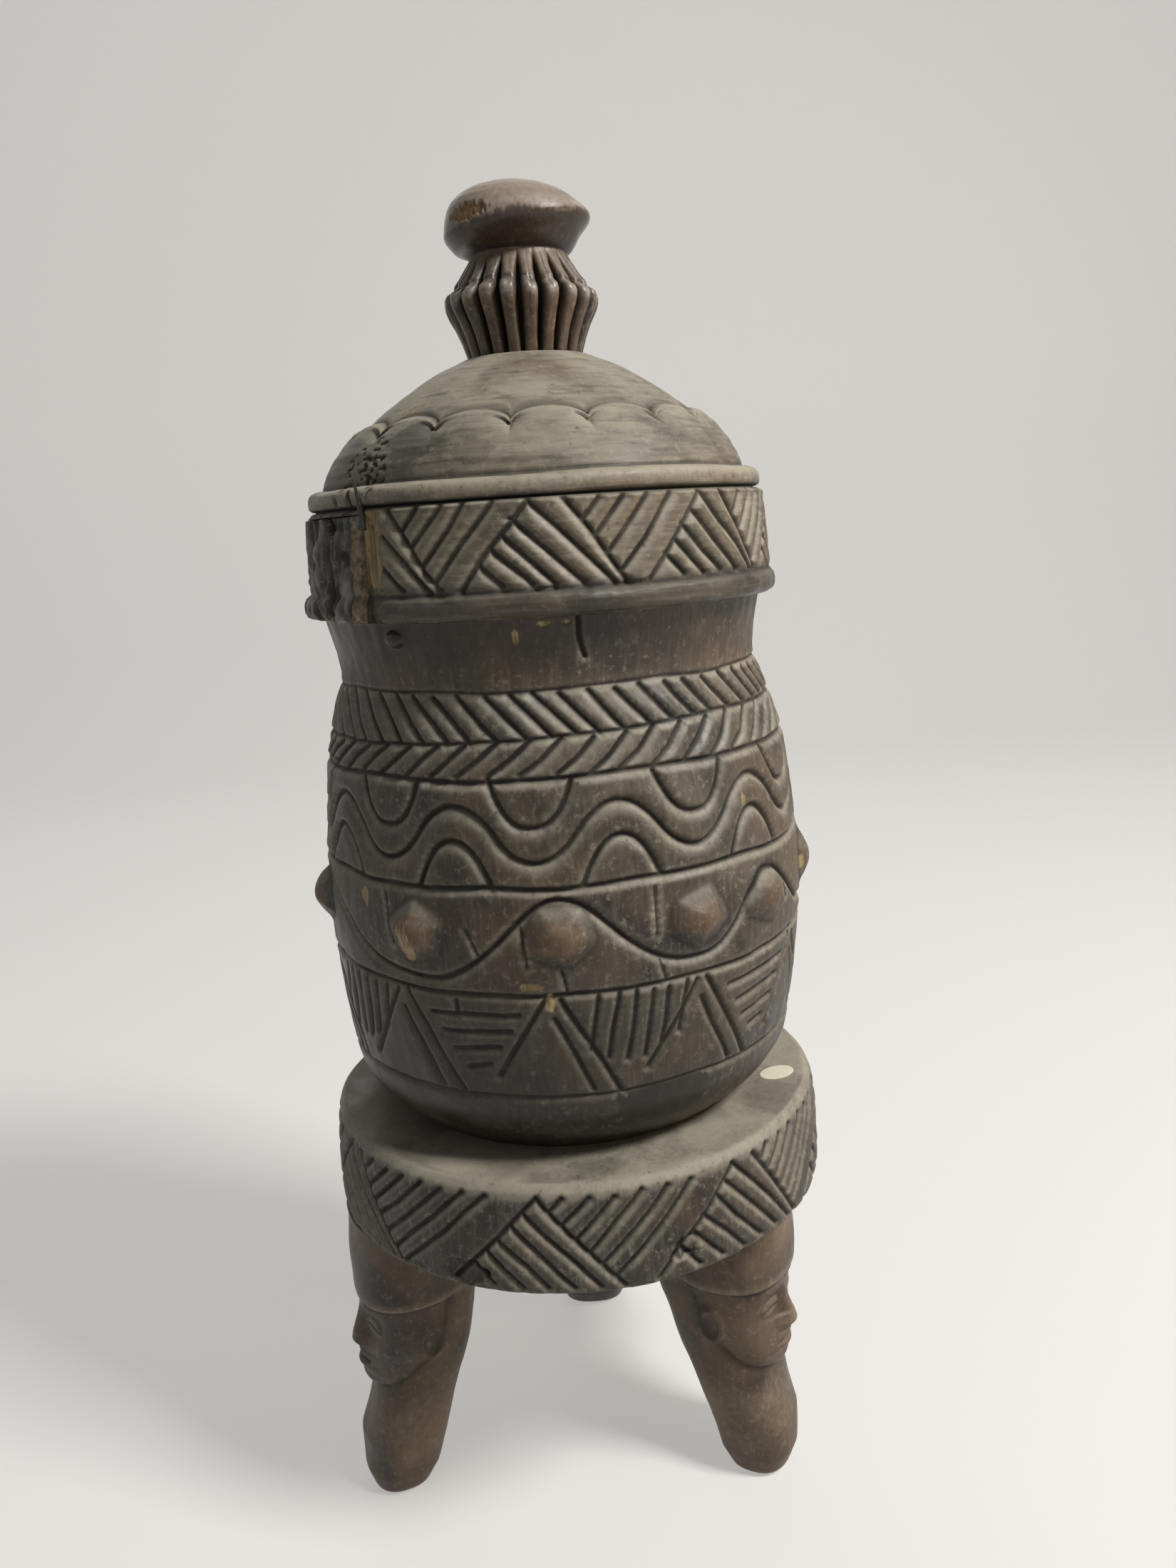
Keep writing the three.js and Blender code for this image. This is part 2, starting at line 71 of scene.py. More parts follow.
# %% Camera
CAMERA_PLACE = (0.0155, -0.559, 0.453)
TILT_DOWN = 12.09
ROLL = -3.65
LENS = 27.818

camera = bpy.data.objects.new("camera", bpy.data.cameras.new("camera"))
bpy.context.scene.collection.objects.link(camera)
camera.data.sensor_fit = "VERTICAL"
camera.data.sensor_height = 36
camera.data.lens = LENS
camera.data.clip_start = 0.01
tilt = Matrix.Rotation(math.radians(90 - TILT_DOWN), 4, "X")
roll = Matrix.Rotation(math.radians(ROLL), 4, "Z")
camera.matrix_world = Matrix.Translation(CAMERA_PLACE) @ tilt @ roll
bpy.context.scene.camera = camera
print("camera at", CAMERA_PLACE)

# %% [markdown]
# ## Measures and a steady hand
# The pot's measures are in millimetres, as a carver would note them, and become metres
# only when a mesh is made. A hand-carved piece has no two equal cuts, so some values
# are drawn at random, from a generator with a fixed seed: each run gives the same pot.

# %% Measures
MM = 0.001
chance = np.random.default_rng(23)

PLATE_LOW, PLATE_TOP, SHOULDER, LIP_TOP = 144, 192, 420, 448  # levels
RING_TOP, DOME_TOP, NECK_LEVEL, TOP = 473.5, 525, 567, 597
BREAK_END, GLUE_EDGE, RAW_EDGE, BREAK_EDGE = -92, -45, -41, -35.4  # angles in degrees


def smooth_line(points, count):
    """A smooth run through chosen points, evenly spaced, as a draughtsman's spline."""
    p = np.array([points[0], *points, points[-1]], float)
    t = np.linspace(0, len(points) - 1, 2000)
    i = np.minimum(t.astype(int), len(points) - 2)
    u = (t - i)[:, None]
    before, here, after, beyond = p[i], p[i + 1], p[i + 2], p[i + 3]
    a, b = (after - before) / 2, (beyond - here) / 2
    run = (2 * here - 2 * after + a + b) * u**3
    run += (3 * after - 3 * here - 2 * a - b) * u**2 + a * u + here
    walked = np.r_[0, np.cumsum(np.linalg.norm(np.diff(run, axis=0), axis=1))]
    even = np.linspace(0, walked[-1], count)
    return np.column_stack([np.interp(even, walked, run[:, k]) for k in range(run.shape[1])])


def ease(x, low, high):
    """0 below low, 1 above high, and smooth in between."""
    t = np.clip((np.asarray(x, float) - low) / (high - low), 0, 1)
    return t * t * (3 - 2 * t)


print("the pot is", TOP, "mm tall")

# %% [markdown]
# ## Skins
# Every form here is a stack of rings. A ring is a row of points round the form, and two
# neighbouring rings are joined by four-sided faces. A fan of triangles closes the first
# and the last ring. numpy makes all points at once, which is quick enough for the
# hundreds of thousands of points that fine carving needs. Beside its place, each point
# can carry a number, an attribute: how deep it is cut, how dusty or how bare its wood
# is. The materials read these numbers later.


# %% Skin of rings
def skin(name, rings, marks=None):
    """A closed mesh over rings of points (rows, columns, xyz) in mm, with its marks."""
    rows, columns, _ = rings.shape
    points = rings.reshape(-1, 3) * MM
    ends = np.array([rings[0].mean(0), rings[-1].mean(0)]) * MM
    here = np.arange(rows * columns).reshape(rows, columns)
    nxt = np.roll(here, -1, axis=1)
    sides = np.stack([here[:-1], nxt[:-1], nxt[1:], here[1:]], axis=-1).reshape(-1, 4)
    low = np.stack([nxt[0], here[0], np.full(columns, rows * columns)], axis=-1)
    high = np.stack([here[-1], nxt[-1], np.full(columns, rows * columns + 1)], axis=-1)
    corners = np.r_[sides.ravel(), low.ravel(), high.ravel()]
    starts = np.r_[np.arange(len(sides)) * 4, len(sides) * 4 + np.arange(2 * columns) * 3]
    mesh = bpy.data.meshes.new(name)
    mesh.vertices.add(rows * columns + 2)
    mesh.vertices.foreach_set("co", np.r_[points, ends].ravel().astype(np.float32))
    mesh.loops.add(len(corners))
    mesh.loops.foreach_set("vertex_index", corners.astype(np.int32))
    mesh.polygons.add(len(starts))
    mesh.polygons.foreach_set("loop_start", starts.astype(np.int32))
    mesh.update(calc_edges=True)
    mesh.validate()
    mesh.shade_smooth()
    for mark, values in (marks or {}).items():
        values = np.broadcast_to(values, (rows, columns)).ravel()
        attribute = mesh.attributes.new(mark, "FLOAT", "POINT")
        attribute.data.foreach_set("value", np.r_[values, 0, 0].astype(np.float32))
    piece = bpy.data.objects.new(name, mesh)
    bpy.context.scene.collection.objects.link(piece)
    print(name, len(mesh.vertices), "points")
    return piece


def place(piece, body, slot, *nodes):
    """Says which body a piece rides on and what it stands for; slot, for its finish, is not used.
    """
    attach(piece, body)
    if nodes:
        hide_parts(*nodes)
    return piece


# %% [markdown]
# ## Unrolled strips
# Carved bands are easiest to draw on paper: angle round the pot to the right, height
# upward. A strip is that paper, a grid of depths that starts at zero everywhere. Angles
# run in degrees, with 0 at the front and the right-hand side at 90.


# %% Strips
def new_strip(columns, levels, radius):
    """An unrolled strip with, for each point, its depth, nearness to a cut and pale lip, part wear
    and part painted highlight.
    """
    grid = (len(levels), columns)
    return SimpleNamespace(
        angles=np.arange(columns) * (360 / columns) - 180,
        levels=np.asarray(levels, float),
        radius=np.asarray(radius, float),
        **{field: np.zeros(grid) for field in ("cut", "core", "lip")},
    )


def away(angles, centre):
    """Degrees from a centre angle, the short way round."""
    return (np.asarray(angles) - centre + 180) % 360 - 180


def mottle(strip, size, seed, stretch=1.0):
    """Smooth random unevenness from -1 to 1, in patches of a size in mm."""
    lattice = np.random.default_rng(seed)
    turns = max(3, int(round(2 * math.pi * strip.radius.mean() / (size * stretch))))
    rise = np.ptp(strip.levels) / size
    values = lattice.uniform(-1, 1, (int(rise) + 3, turns))
    v = (strip.levels - strip.levels.min()) / size
    u = (strip.angles + 180) / 360 * turns
    row, column = v.astype(int), u.astype(int)
    fv = ease(v - row, 0, 1)[:, None]
    fu = ease(u - column, 0, 1)[None]
    pick = lambda r, c: values[np.ix_(row + r, (column + c) % turns)]
    low = pick(0, 0) * (1 - fu) + pick(0, 1) * fu
    high = pick(1, 0) * (1 - fu) + pick(1, 1) * fu
    return low * (1 - fv) + high * fv


print("from 170 to -170 degrees it is", away(-170, 170), "degrees")


# %% [markdown]
# ## Cuts
# The carver works with a knife: a deep narrow cut with rounded shoulders, so that what
# stands between two cuts looks like a rounded rod. The blade leans, and the side of the
# cut below it is the wider one. Its lip is painted pale: partly wear from hands, partly a
# painted highlight where that side faces up to the light. A cut follows a path of
# (angle, height) points. The path is walked in short steps and strays slowly from its
# line. Only the grid points near each step are touched, which keeps the work quick.


# %% Cuts
WOBBLE = 0.4  # mm that the knife strays
STEP = 3.0  # mm between two points of a walked path
STRAY_RUN = 5  # steps from one stray of the knife to the next
BEVEL = 0.3  # how much wider a cut is below its path than beside it
DIRT_REACH = 1.6  # mm from the bottom of a deep cut to where its dirt ends
LIP_AT, LIP_WIDE = 2.1, 0.75  # mm from a cut's bottom to its pale lip, part wear and part painted highlight, and the lip's width
DRIFT_KNOTS = 25  # points round the pot between which a level drifts


def walked_path(strip, path, wobble):
    """The path in short steps that drift a little off the line, as a hand cuts it."""
    path = np.array(path, float)
    per_degree = math.radians(1) * strip.radius.mean()
    run = np.hypot(np.diff(path[:, 0]) * per_degree, np.diff(path[:, 1]))
    walked = np.r_[0, np.cumsum(run)]
    count = max(2, int(walked[-1] / STEP) + 1)
    even = np.linspace(0, walked[-1], count)
    out = np.column_stack([np.interp(even, walked, path[:, k]) for k in (0, 1)])
    knots = np.arange(0, count + STRAY_RUN, STRAY_RUN)
    drift = chance.normal(0, wobble, (2, len(knots)))
    stray = np.column_stack([np.interp(np.arange(count), knots, row) for row in drift])
    return out + stray / [per_degree, 1]


def cut_along(strip, path, depth, half_width, wobble=WOBBLE, sharp=1.7):
    """Cuts a groove into the strip, deepest on the path."""
    column_step = strip.angles[1] - strip.angles[0]
    row_step = strip.levels[1] - strip.levels[0]
    low = strip.levels[0]
    count = len(strip.angles)
    points = walked_path(strip, path, wobble)
    widest = half_width * (1 + BEVEL)
    dirty = DIRT_REACH * min(1, depth / 2.2)
    for (a0, z0), (a1, z1) in zip(points[:-1], points[1:]):
        at = np.interp((z0 + z1) / 2, strip.levels, strip.radius)
        per_degree = math.radians(1) * at
        reach = widest / per_degree
        first = math.floor((min(a0, a1) - reach + 180) / column_step)
        last = math.ceil((max(a0, a1) + reach + 180) / column_step)
        columns = np.arange(first, last + 1)
        bottom = max(0, int((min(z0, z1) - widest - low) / row_step))
        top = min(len(strip.levels), int((max(z0, z1) + widest - low) / row_step) + 2)
        if top <= bottom:
            continue
        s = ((columns * column_step - 180) - a0) * per_degree
        t = (strip.levels[bottom:top] - z0)[:, None]
        along = np.array([(a1 - a0) * per_degree, z1 - z0])
        length = max(1e-9, along @ along)
        u = np.clip((s * along[0] + t * along[1]) / length, 0, 1)
        off = np.hypot(s - u * along[0], t - u * along[1])
        below = (u * along[1] - t) / np.maximum(off, 1e-6)
        near = np.clip(1 - off / (half_width * (1 + BEVEL * below)), 0, 1)
        # The pale lip below the cut is partly wear and partly a painted highlight where that side
        # faces the light.
        lip = np.exp(-(((off - LIP_AT) / LIP_WIDE) ** 2)) * ease(below, -0.4, 0.8)
        window = np.ix_(range(bottom, top), columns % count)
        strip.cut[window] = np.maximum(strip.cut[window], depth * near**sharp)
        strip.core[window] = np.maximum(strip.core[window], 1 - off / dirty)
        strip.lip[window] = np.maximum(strip.lip[window], lip)


def level_drift(angles, seed):
    """A slow drift from -1 to 1 round the pot, which ends as it began."""
    values = np.random.default_rng(seed).uniform(-1, 1, DRIFT_KNOTS)
    values[-1] = values[0]
    return np.interp(angles, np.linspace(-180, 180, DRIFT_KNOTS), values)


def cut_round(strip, level, depth, half_width, wander, seed):
    """Cuts a groove all round, at a level that may be a function of the angle."""
    angles = np.arange(-180, 183, 3.0)
    levels = np.array([level(a) if callable(level) else level for a in angles])
    levels = levels + level_drift(angles, seed) * wander
    cut_along(strip, np.column_stack([angles, levels]), depth, half_width, 0.2)


def softened(field, rounds):
    """The field averaged with its neighbours, round and round."""
    for _ in range(rounds):
        field = (np.roll(field, 1, 1) + field * 2 + np.roll(field, -1, 1)) / 4
        padded = np.pad(field, ((1, 1), (0, 0)), mode="edge")
        field = (padded[:-2] + padded[1:-1] * 2 + padded[2:]) / 4
    return field


def wear_marks(strip):
    """Dirt at the bottom of the cuts, worn crowns beside them, and pale lips below them, part wear
    and part painted highlight.
    """
    dirt = ease(strip.core, 0, 0.7) * (0.84 + 0.16 * mottle(strip, 8, 12))
    crown = np.clip((softened(strip.cut, 6) - softened(strip.cut, 1)) * 1.6, 0, 1)
    ragged = 0.7 + 0.3 * mottle(strip, 5, 11)
    return dirt, np.clip((crown * 0.35 + softened(strip.lip, 1) * ragged) * (1 - dirt), 0, 1)


print("one walked step is", STEP, "mm")

# %% [markdown]
# ## Bowl
# The barrel of the bowl swells from a narrow foot to a belly, draws in to a waist and
# opens to the shoulder that carries the lid. Five bands are carved on it. It could be a
# turned surface with a bump texture, but the real cuts are 2 to 3 mm deep and throw
# shadows, so the skin itself is cut. The curve is the frame's own.

# %% Bowl's form
BOWL_CURVE = [
    # radius, level
    (81, 192), (98.76, 208.66), (105.6, 231.2), (110.6, 290), (106.6, 347), (99, 379), (94, 395),
    (98, 420),
]
HOLLOW_CURVE = [(80.5, 414), (80, 395), (96.6, 290), (88.6, 232), (67, 216)]
LIP_RADIUS, LIP_WALL = 90.5, 10
BOSSES = [-76, -32.4, -0.6, 29.8, 51, 82, 117, 152, 187, 222, 253]
BOSS_LEVEL = 297
BOSS_TOP = 117.8  # radius of a boss's blunt tip
BELLY_LEAN = 2  # the carved belly bulges this much further to the right
BOWL_COLUMNS, BOWL_STEP = 1000, 0.66  # points in a ring, and mm between two rings

outline = smooth_line(BOWL_CURVE, 800)
bowl_levels = np.arange(PLATE_TOP, SHOULDER - 0.3, BOWL_STEP)
bowl_radius = np.interp(bowl_levels, outline[:, 1], outline[:, 0])
bowl_strip = new_strip(BOWL_COLUMNS, bowl_levels, bowl_radius)
print("bowl's strip:", bowl_strip.cut.shape, "grid points")

# %% [markdown]
# ### Neck: slanted cuts
# Below the lid run two rows of slanted cuts that meet on a middle line, like the veins
# of a leaf. The upper cuts lean back and the lower ones lean forward. Their spacing, 10
# to 13 mm, and the gently rising middle line follow the pot.

# %% Neck
NECK_TOP, NECK_LOW = 390, 359


def neck_middle(a):
    """Level of the neck's middle line at an angle."""
    return 373.5 + 2.6 * math.sin(math.radians(a * 1.3 + 5))


def cut_neck(strip):
    """Cuts both rows and their three lines, and counts the upper cuts."""
    upper = 0
    angle = -176.0
    while angle < 180:
        lean = 10.5 - 4.5 * float(ease(abs(away(angle, 60)), 90, 30))
        foot = (angle + lean, neck_middle(angle) + 1)
        cut_along(strip, [(angle, NECK_TOP), (angle + lean * 0.42, 383.5), foot], 2.3, 3.4)
        angle += 6.3 + chance.uniform(-0.7, 0.7)
        upper += 1
    angle = -178.0
    while angle < 178:
        foot = (angle - 9 + chance.uniform(-0.8, 0.8), NECK_LOW + 1)
        top = (angle, neck_middle(angle) - 1)
        cut_along(strip, [top, (angle - 4.6, 365.5), foot], 2.2, 3.5)
        angle += 7.3 + chance.uniform(-0.6, 0.6)
    cut_round(strip, neck_middle, 1.6, 2.4, 0.5, seed=3)
    cut_round(strip, 391.5, 1.1, 2.2, 0.9, seed=4)
    cut_round(strip, 358.4, 2.4, 3.0, 0.9, seed=5)
    return upper


print("slanted cuts in a row:", cut_neck(bowl_strip))

# %% [markdown]
# ### Neck: wave
# A wave runs round the pot in ten swings. A lobe hangs into each trough and another
# stands under each crest, so that the wave looks like a ribbon between rows of lobes.

# %% Wave
WAVE_TURN = -22.5  # angle of one crest
WAVE_LENGTH = 36
WAVE_MIDDLE, WAVE_SWING = 337.3, 11.2
WAVE_LOW, WAVE_HIGH = 317, 358


def lobe(centre, half_width, low, high, power, hangs):
    """A lobe's outline, hanging from high or standing on low."""
    t = np.linspace(-1, 1, 15)
    rise = (high - low) * np.abs(t) ** power
    levels = low + rise if hangs else high - rise
    return np.column_stack([centre + half_width * t, levels])


def cut_wave(strip):
    """Cuts the wave, its lobes and the line below them."""
    angles = np.arange(-180, 181, 2.0)
    swing = np.cos(np.radians((angles - WAVE_TURN) * 360 / WAVE_LENGTH))
    wave = WAVE_MIDDLE + WAVE_SWING * np.sign(swing) * np.abs(swing) ** 0.85
    cut_along(strip, np.column_stack([angles, wave]), 3.1, 5.4, 0.3, sharp=2.2)
    for k in range(round(360 / WAVE_LENGTH)):
        crest = WAVE_TURN + k * WAVE_LENGTH + chance.uniform(-0.6, 0.6)
        trough = crest + WAVE_LENGTH / 2
        standing = lobe(crest, 8.6, WAVE_LOW, 335.2, 2.1, False)
        hanging = lobe(trough, 9.0, 339.6, WAVE_HIGH, 2.7, True)
        for line in (standing, hanging):
            cut_along(strip, line, 2.8, 4.6, 0.3, sharp=2.1)
    cut_round(strip, 316.3, 2.6, 3.0, 0.8, seed=6)


cut_wave(bowl_strip)
print("waves round the pot:", round(360 / WAVE_LENGTH))

# %% [markdown]
# ### Belly: bosses and the line that winds round them
# Eleven bosses stand out from the belly: blunt cones with flats left by the knife. A cut
# passes above one boss and below the next.

# %% Bosses
LINE_NODES = [
    (-107, 311), (-91, 283), (-76, 311.5), (-32.4, 277.5), (-0.6, 311.5), (29.8, 280),
    (51, 308.5), (82, 280), (117, 311), (152, 280), (187, 311), (222, 280), (253, 311),
]
BOSS_RADIUS = 15.5
BOSS_FLATS = 5
BOSS_SLOPE = [(0, 1), (2.5, 0.97), (5.0, 0.84), (9.5, 0.48), (13.0, 0.14), (BOSS_RADIUS, 0)]
SIDE_CUTS = [
    [(-41, 311), (-39.6, 290)], [(-20.6, 300), (-18, 289)], [(-8.2, 301), (-7.6, 284)],
    [(-0.5, 283), (0.4, 274)], [(19.8, 312), (19.6, 293)], [(20.2, 282), (21.5, 274)],
    [(60, 300), (61, 290)],
]


def winding_line():
    """The line from node to node, flatter below the bosses than above them."""
    path = []
    for (a0, z0), (a1, z1) in zip(LINE_NODES[:-1], LINE_NODES[1:]):
        t = np.linspace(0, 1, 13)[:-1]
        from_low = t if z0 < z1 else 1 - t
        rise = (1 - np.cos(np.pi * from_low**1.3)) / 2
        path += list(zip(a0 + (a1 - a0) * t, min(z0, z1) + abs(z1 - z0) * rise))
    return path + [LINE_NODES[-1]]


def boss_field(strip):
    """How far each grid point stands out because of a boss."""
    out = np.zeros_like(strip.cut)
    for k, angle in enumerate(BOSSES):
        s = away(strip.angles, angle)[None] * math.radians(1) * 110
        t = (strip.levels - BOSS_LEVEL)[:, None]
        flats = np.arange(BOSS_FLATS) * 2 * np.pi / BOSS_FLATS
        flats = flats + chance.uniform(-0.3, 0.3, BOSS_FLATS) + chance.uniform(0, 1)
        corner = np.max([s * np.cos(f) + t * 1.12 * np.sin(f) for f in flats], axis=0)
        off = 0.3 * np.hypot(s, t * 1.12) + 0.7 * corner * 1.1
        cone = np.interp(off, *zip(*BOSS_SLOPE))
        base = np.interp(BOSS_LEVEL, strip.levels, strip.radius)
        top = min(BOSS_TOP, BOSS_TOP - BELLY_LEAN * math.sin(math.radians(angle)))
        out = np.maximum(out, cone * (top - base))
    return out


bowl_bosses = softened(boss_field(bowl_strip), 1)
cut_along(bowl_strip, winding_line(), 2.8, 4.4, 0.35, sharp=2.0)
for path in SIDE_CUTS:
    cut_along(bowl_strip, path, 1.1, 1.8)
print("bosses:", len(BOSSES), "reaching", round(float(bowl_bosses.max()), 1), "mm")

# %% [markdown]
# ### Belly: pointed arches
# The lowest band is a row of pointed arches with double lines. The fields between them
# are filled in turn with upright and with level cuts.

# %% Arches
ARCH_TOP, ARCH_LOW = 270, 228
ARCHES = [-39, -3, 30.5, 66, 102, 139, 176, 213, 250, 286]
NECK_SPLIT = [(9.6, 419), (9.3, 411), (10.2, 404)]


def cut_arches(strip):
    """Cuts each arch's two sides, and the field up to the next arch."""
    for k, (a, after) in enumerate(zip(ARCHES, [*ARCHES[1:], ARCHES[0] + 360])):
        cut_along(strip, [(a + 1.5, ARCH_TOP), (a + 14, ARCH_LOW)], 2.2, 3.0)
        cut_along(strip, [(a, ARCH_TOP - 8), (a + 8.4, ARCH_LOW + 1)], 2.0, 2.8)
        cut_along(strip, [(a - 1.5, ARCH_TOP), (a - 13, ARCH_LOW + 8)], 2.2, 3.0)
        if k % 2 == 1:
            for i in range(6):
                top = a + 8.5 + i * 3.9
                foot = 250 - 9 * math.sin(math.pi * (i + 0.5) / 5.5)
                cut_along(strip, [(top + 1.5, ARCH_TOP), (top - 0.6, foot)], 1.9, 2.6)
        else:
            for i in range(4):
                level = 263.5 - i * 7.8
                inset = 5.5 + i * 2.6
                start = (a + inset + 2.5, level - 0.8)
                cut_along(strip, [start, (after - inset - 1.5, level + 1)], 2.1, 3.0)
    cut_along(strip, [(-24.5, 269), (-24.2, 264)], 1.9, 2.0)
    cut_round(strip, 272.6, 2.2, 2.8, 0.8, seed=7)
    cut_round(strip, 227, 1.5, 2.4, 0.8, seed=8)


cut_arches(bowl_strip)
cut_along(bowl_strip, NECK_SPLIT, 2.2, 1.9)
print("arches:", len(ARCHES))

# %% [markdown]
# ### Chips, plain rings and marks
# A chip is a patch with a ragged edge, laid over a strip. Forms without carving, such as
# the inside of the bowl, need no strip: a few plain rings of a radius and a level will
# do. Marks that were worked out on a strip get zeros where plain rings join it.


# %% Chips and rings
def chip(strip, angle, level, half_angle, half_height, seed, power=2.0):
    """A ragged patch: 1 inside, 0 outside, round an angle and a level."""
    ragged = 0.35 * mottle(strip, 3.2, seed) + 0.2 * mottle(strip, 1.6, seed + 1)
    s = away(strip.angles, angle)[None] / half_angle
    t = (strip.levels[:, None] - level) / half_height
    return ease(1.15 - (np.abs(s) ** power + np.abs(t) ** power) - ragged, 0, 0.3)


def patches(strip, rows):
    """A sum of chips; each row holds a weight and then what chip takes."""
    return sum(weight * chip(strip, *row) for weight, *row in rows)


def around(angles, radius, level):
    """Points round the pot's axis; radius and level may change round it."""
    a = np.radians(angles - 90)
    x, y = radius * np.cos(a), radius * np.sin(a)
    return np.stack([x, y, np.broadcast_to(level, x.shape)], axis=-1)


def turned(x, y, turn):
    """Where x and y come to lie after a turn."""
    return x * math.cos(turn) - y * math.sin(turn), x * math.sin(turn) + y * math.cos(turn)


def rolled(strip):
    """The points of a strip that is rolled up again."""
    return around(strip.angles, strip.radius[:, None] - strip.cut, strip.levels[:, None])


def plain_rings(profile, columns):
    """Plain rings of (radius, level) points; a radius may change round its ring."""
    angles = np.arange(columns) * (360 / columns) - 180
    return np.array([around(angles, radius, level) for radius, level in profile])


def over_rings(before, after, **marks):
    """The marks of a strip, with zeros for the plain rings before and after it."""

    def padded(field):
        plain = np.zeros((before + after, field.shape[1]))
        return np.vstack([plain[:before], field, plain[before:]])

    return {key: padded(field) for key, field in marks.items()}


nearest, furthest = (round(math.sqrt(1.15 + k * 0.55), 2) for k in (-1, 1))
print("a chip's edge lies between", nearest, "and", furthest, "of its size")

# %% [markdown]
# ### Bowl's surface
# What is left between the carved lines isn't smooth. The adze left shallow hollows, pale
# wood shows in a few chips, and a stud stands under the lid's hem. Three marks go with
# it: "dark" for the glossy patch on the foot, for painted shadow under the lid's hem and
# for painted shade round the foot, both heavier on the left, "brown" for the rubbed tips
# of the bosses, and "bare" for the chips.

# %% Bowl's surface
BOWL_CHIPS = [
    # angle, level, half angle, half height, seed
    (-34.6, 293, 2.7, 8.5, 31), (-7.0, 276.2, 2.4, 1.6, 33), (-3.4, 268.6, 1.0, 4.0, 35),
    (-48.8, 307, 1.4, 4.5, 37), (46.3, 338.5, 0.8, 3.5, 39), (76, 297, 2.2, 3.0, 41),
    (-5.2, 412.5, 0.8, 3.2, 45), (1.6, 417.2, 1.8, 0.8, 47), (6.6, 417.4, 1.0, 0.7, 49),
]
STUD_ANGLE, STUD_LEVEL, STUD_PROUD = -36.5, 413, 3.2

up_the_bowl = bowl_levels[:, None]
bowl_bare = np.max([chip(bowl_strip, *row) for row in BOWL_CHIPS], axis=0)
bowl_dirt, bowl_wear = wear_marks(bowl_strip)
adze = 0.45 * mottle(bowl_strip, 21, 51, 0.7) + 0.22 * mottle(bowl_strip, 8, 52, 0.6)
standing = bowl_bosses * (1 - 0.1 * bowl_bare)
bowl_strip.cut += (0.45 + adze) * ease(up_the_bowl, 193, 199) + 0.5 * bowl_bare - standing

across_stud = away(bowl_strip.angles, STUD_ANGLE)[None] * 1.66  # mm, from degrees
off_stud = np.hypot(across_stud / 5, (up_the_bowl - STUD_LEVEL) / 3.6)
bowl_strip.cut -= STUD_PROUD * np.clip(1 - off_stud**2.5, 0, 1) ** 0.6

boss_edge = softened(bowl_bosses > 0.35, 4)
boss_foot = np.clip(boss_edge * 4 * (1 - boss_edge), 0, 1)
bowl_dirt = np.maximum(bowl_dirt, 0.55 * boss_foot * (bowl_bosses < 3))
bowl_brown = ease(bowl_bosses, 2.0, 5.0)

glossy = chip(bowl_strip, 22, 216, 12, 14, 43, 2.6) * (1 - ease(up_the_bowl, 226, 229))
to_the_right = np.sin(np.radians(bowl_strip.angles))[None]
# Painted shadow of the lid's hem on the neck, heavier on the left side.
painted_hem_shadow = ease(up_the_bowl + 5 * mottle(bowl_strip, 14, 57), 395, 412)
painted_hem_shadow = painted_hem_shadow * (0.7 - 0.3 * np.sin(np.radians(bowl_strip.angles - 10)))[None]
# Painted shade round the foot under the belly, darker towards the bottom and the left.
painted_shade_round_foot = 1 - ease(up_the_bowl + 9 * mottle(bowl_strip, 20, 58), 236, 294)
painted_shade_round_foot = painted_shade_round_foot * (0.6 - 0.32 * to_the_right)
bowl_dark_and_shade = np.max([glossy, np.clip(painted_hem_shadow, 0, 1), painted_shade_round_foot], axis=0)
print("deepest point of the bowl's surface:", round(float(bowl_strip.cut.max()), 1), "mm")

# %% [markdown]
# ### Bowl's skin
# The strip is rolled up again: a point's radius is the curve's, less its cut. The belly
# leans a little to the right, as on the real pot. The lip that enters the lid and the
# hollow inside follow in plain rings.

# %% Bowl's skin
LIP_INSIDE = LIP_RADIUS - LIP_WALL
lip_rows = [
    (LIP_RADIUS, SHOULDER), (LIP_RADIUS, SHOULDER + 4), (LIP_RADIUS, LIP_TOP - 1.2),
    (LIP_RADIUS - 0.4, LIP_TOP - 0.4), (LIP_RADIUS - 1.2, LIP_TOP),
    (LIP_INSIDE + 1.2, LIP_TOP), (LIP_INSIDE + 0.4, LIP_TOP - 0.4),
    (LIP_INSIDE, LIP_TOP - 1.2), (LIP_INSIDE, LIP_TOP - 8),
]
inner_rows = [(98, SHOULDER), *lip_rows, *smooth_line(HOLLOW_CURVE, 40), (40, 216)]
bowl_marks = over_rings(
    0, len(inner_rows),
    dirt=bowl_dirt, wear=bowl_wear * (1 - 0.8 * bowl_dark_and_shade), bare=bowl_bare, dark=bowl_dark_and_shade,
    brown=bowl_brown,
)
belly = rolled(bowl_strip)
rise = np.clip((up_the_bowl - PLATE_TOP) / (SHOULDER - PLATE_TOP), 0, 1)
belly[..., 0] += BELLY_LEAN * np.sin(np.pi * rise)
bowl_rings = np.vstack([belly, plain_rings(inner_rows, BOWL_COLUMNS)])
bowl = skin("carved_bowl", bowl_rings, bowl_marks)
place(bowl, "vessel", "dark_wood", "bowl")

# %% [markdown]
# ## Zigzag bands
# The lid's skirt and the plate's rim carry the same pattern: a zigzag line whose
# triangles are filled with slanted cuts, so that each field looks like a bundle of rods.
# One function cuts it, from the angles of the upper points and from shares of the
# band's height and width.


# %% Zigzag
LINE_GAP, PLAIN_BAR = 5.2, 9  # degrees between further lines, and the width of the plain bar
USUAL_FIELD = 41  # degrees from tip to tip


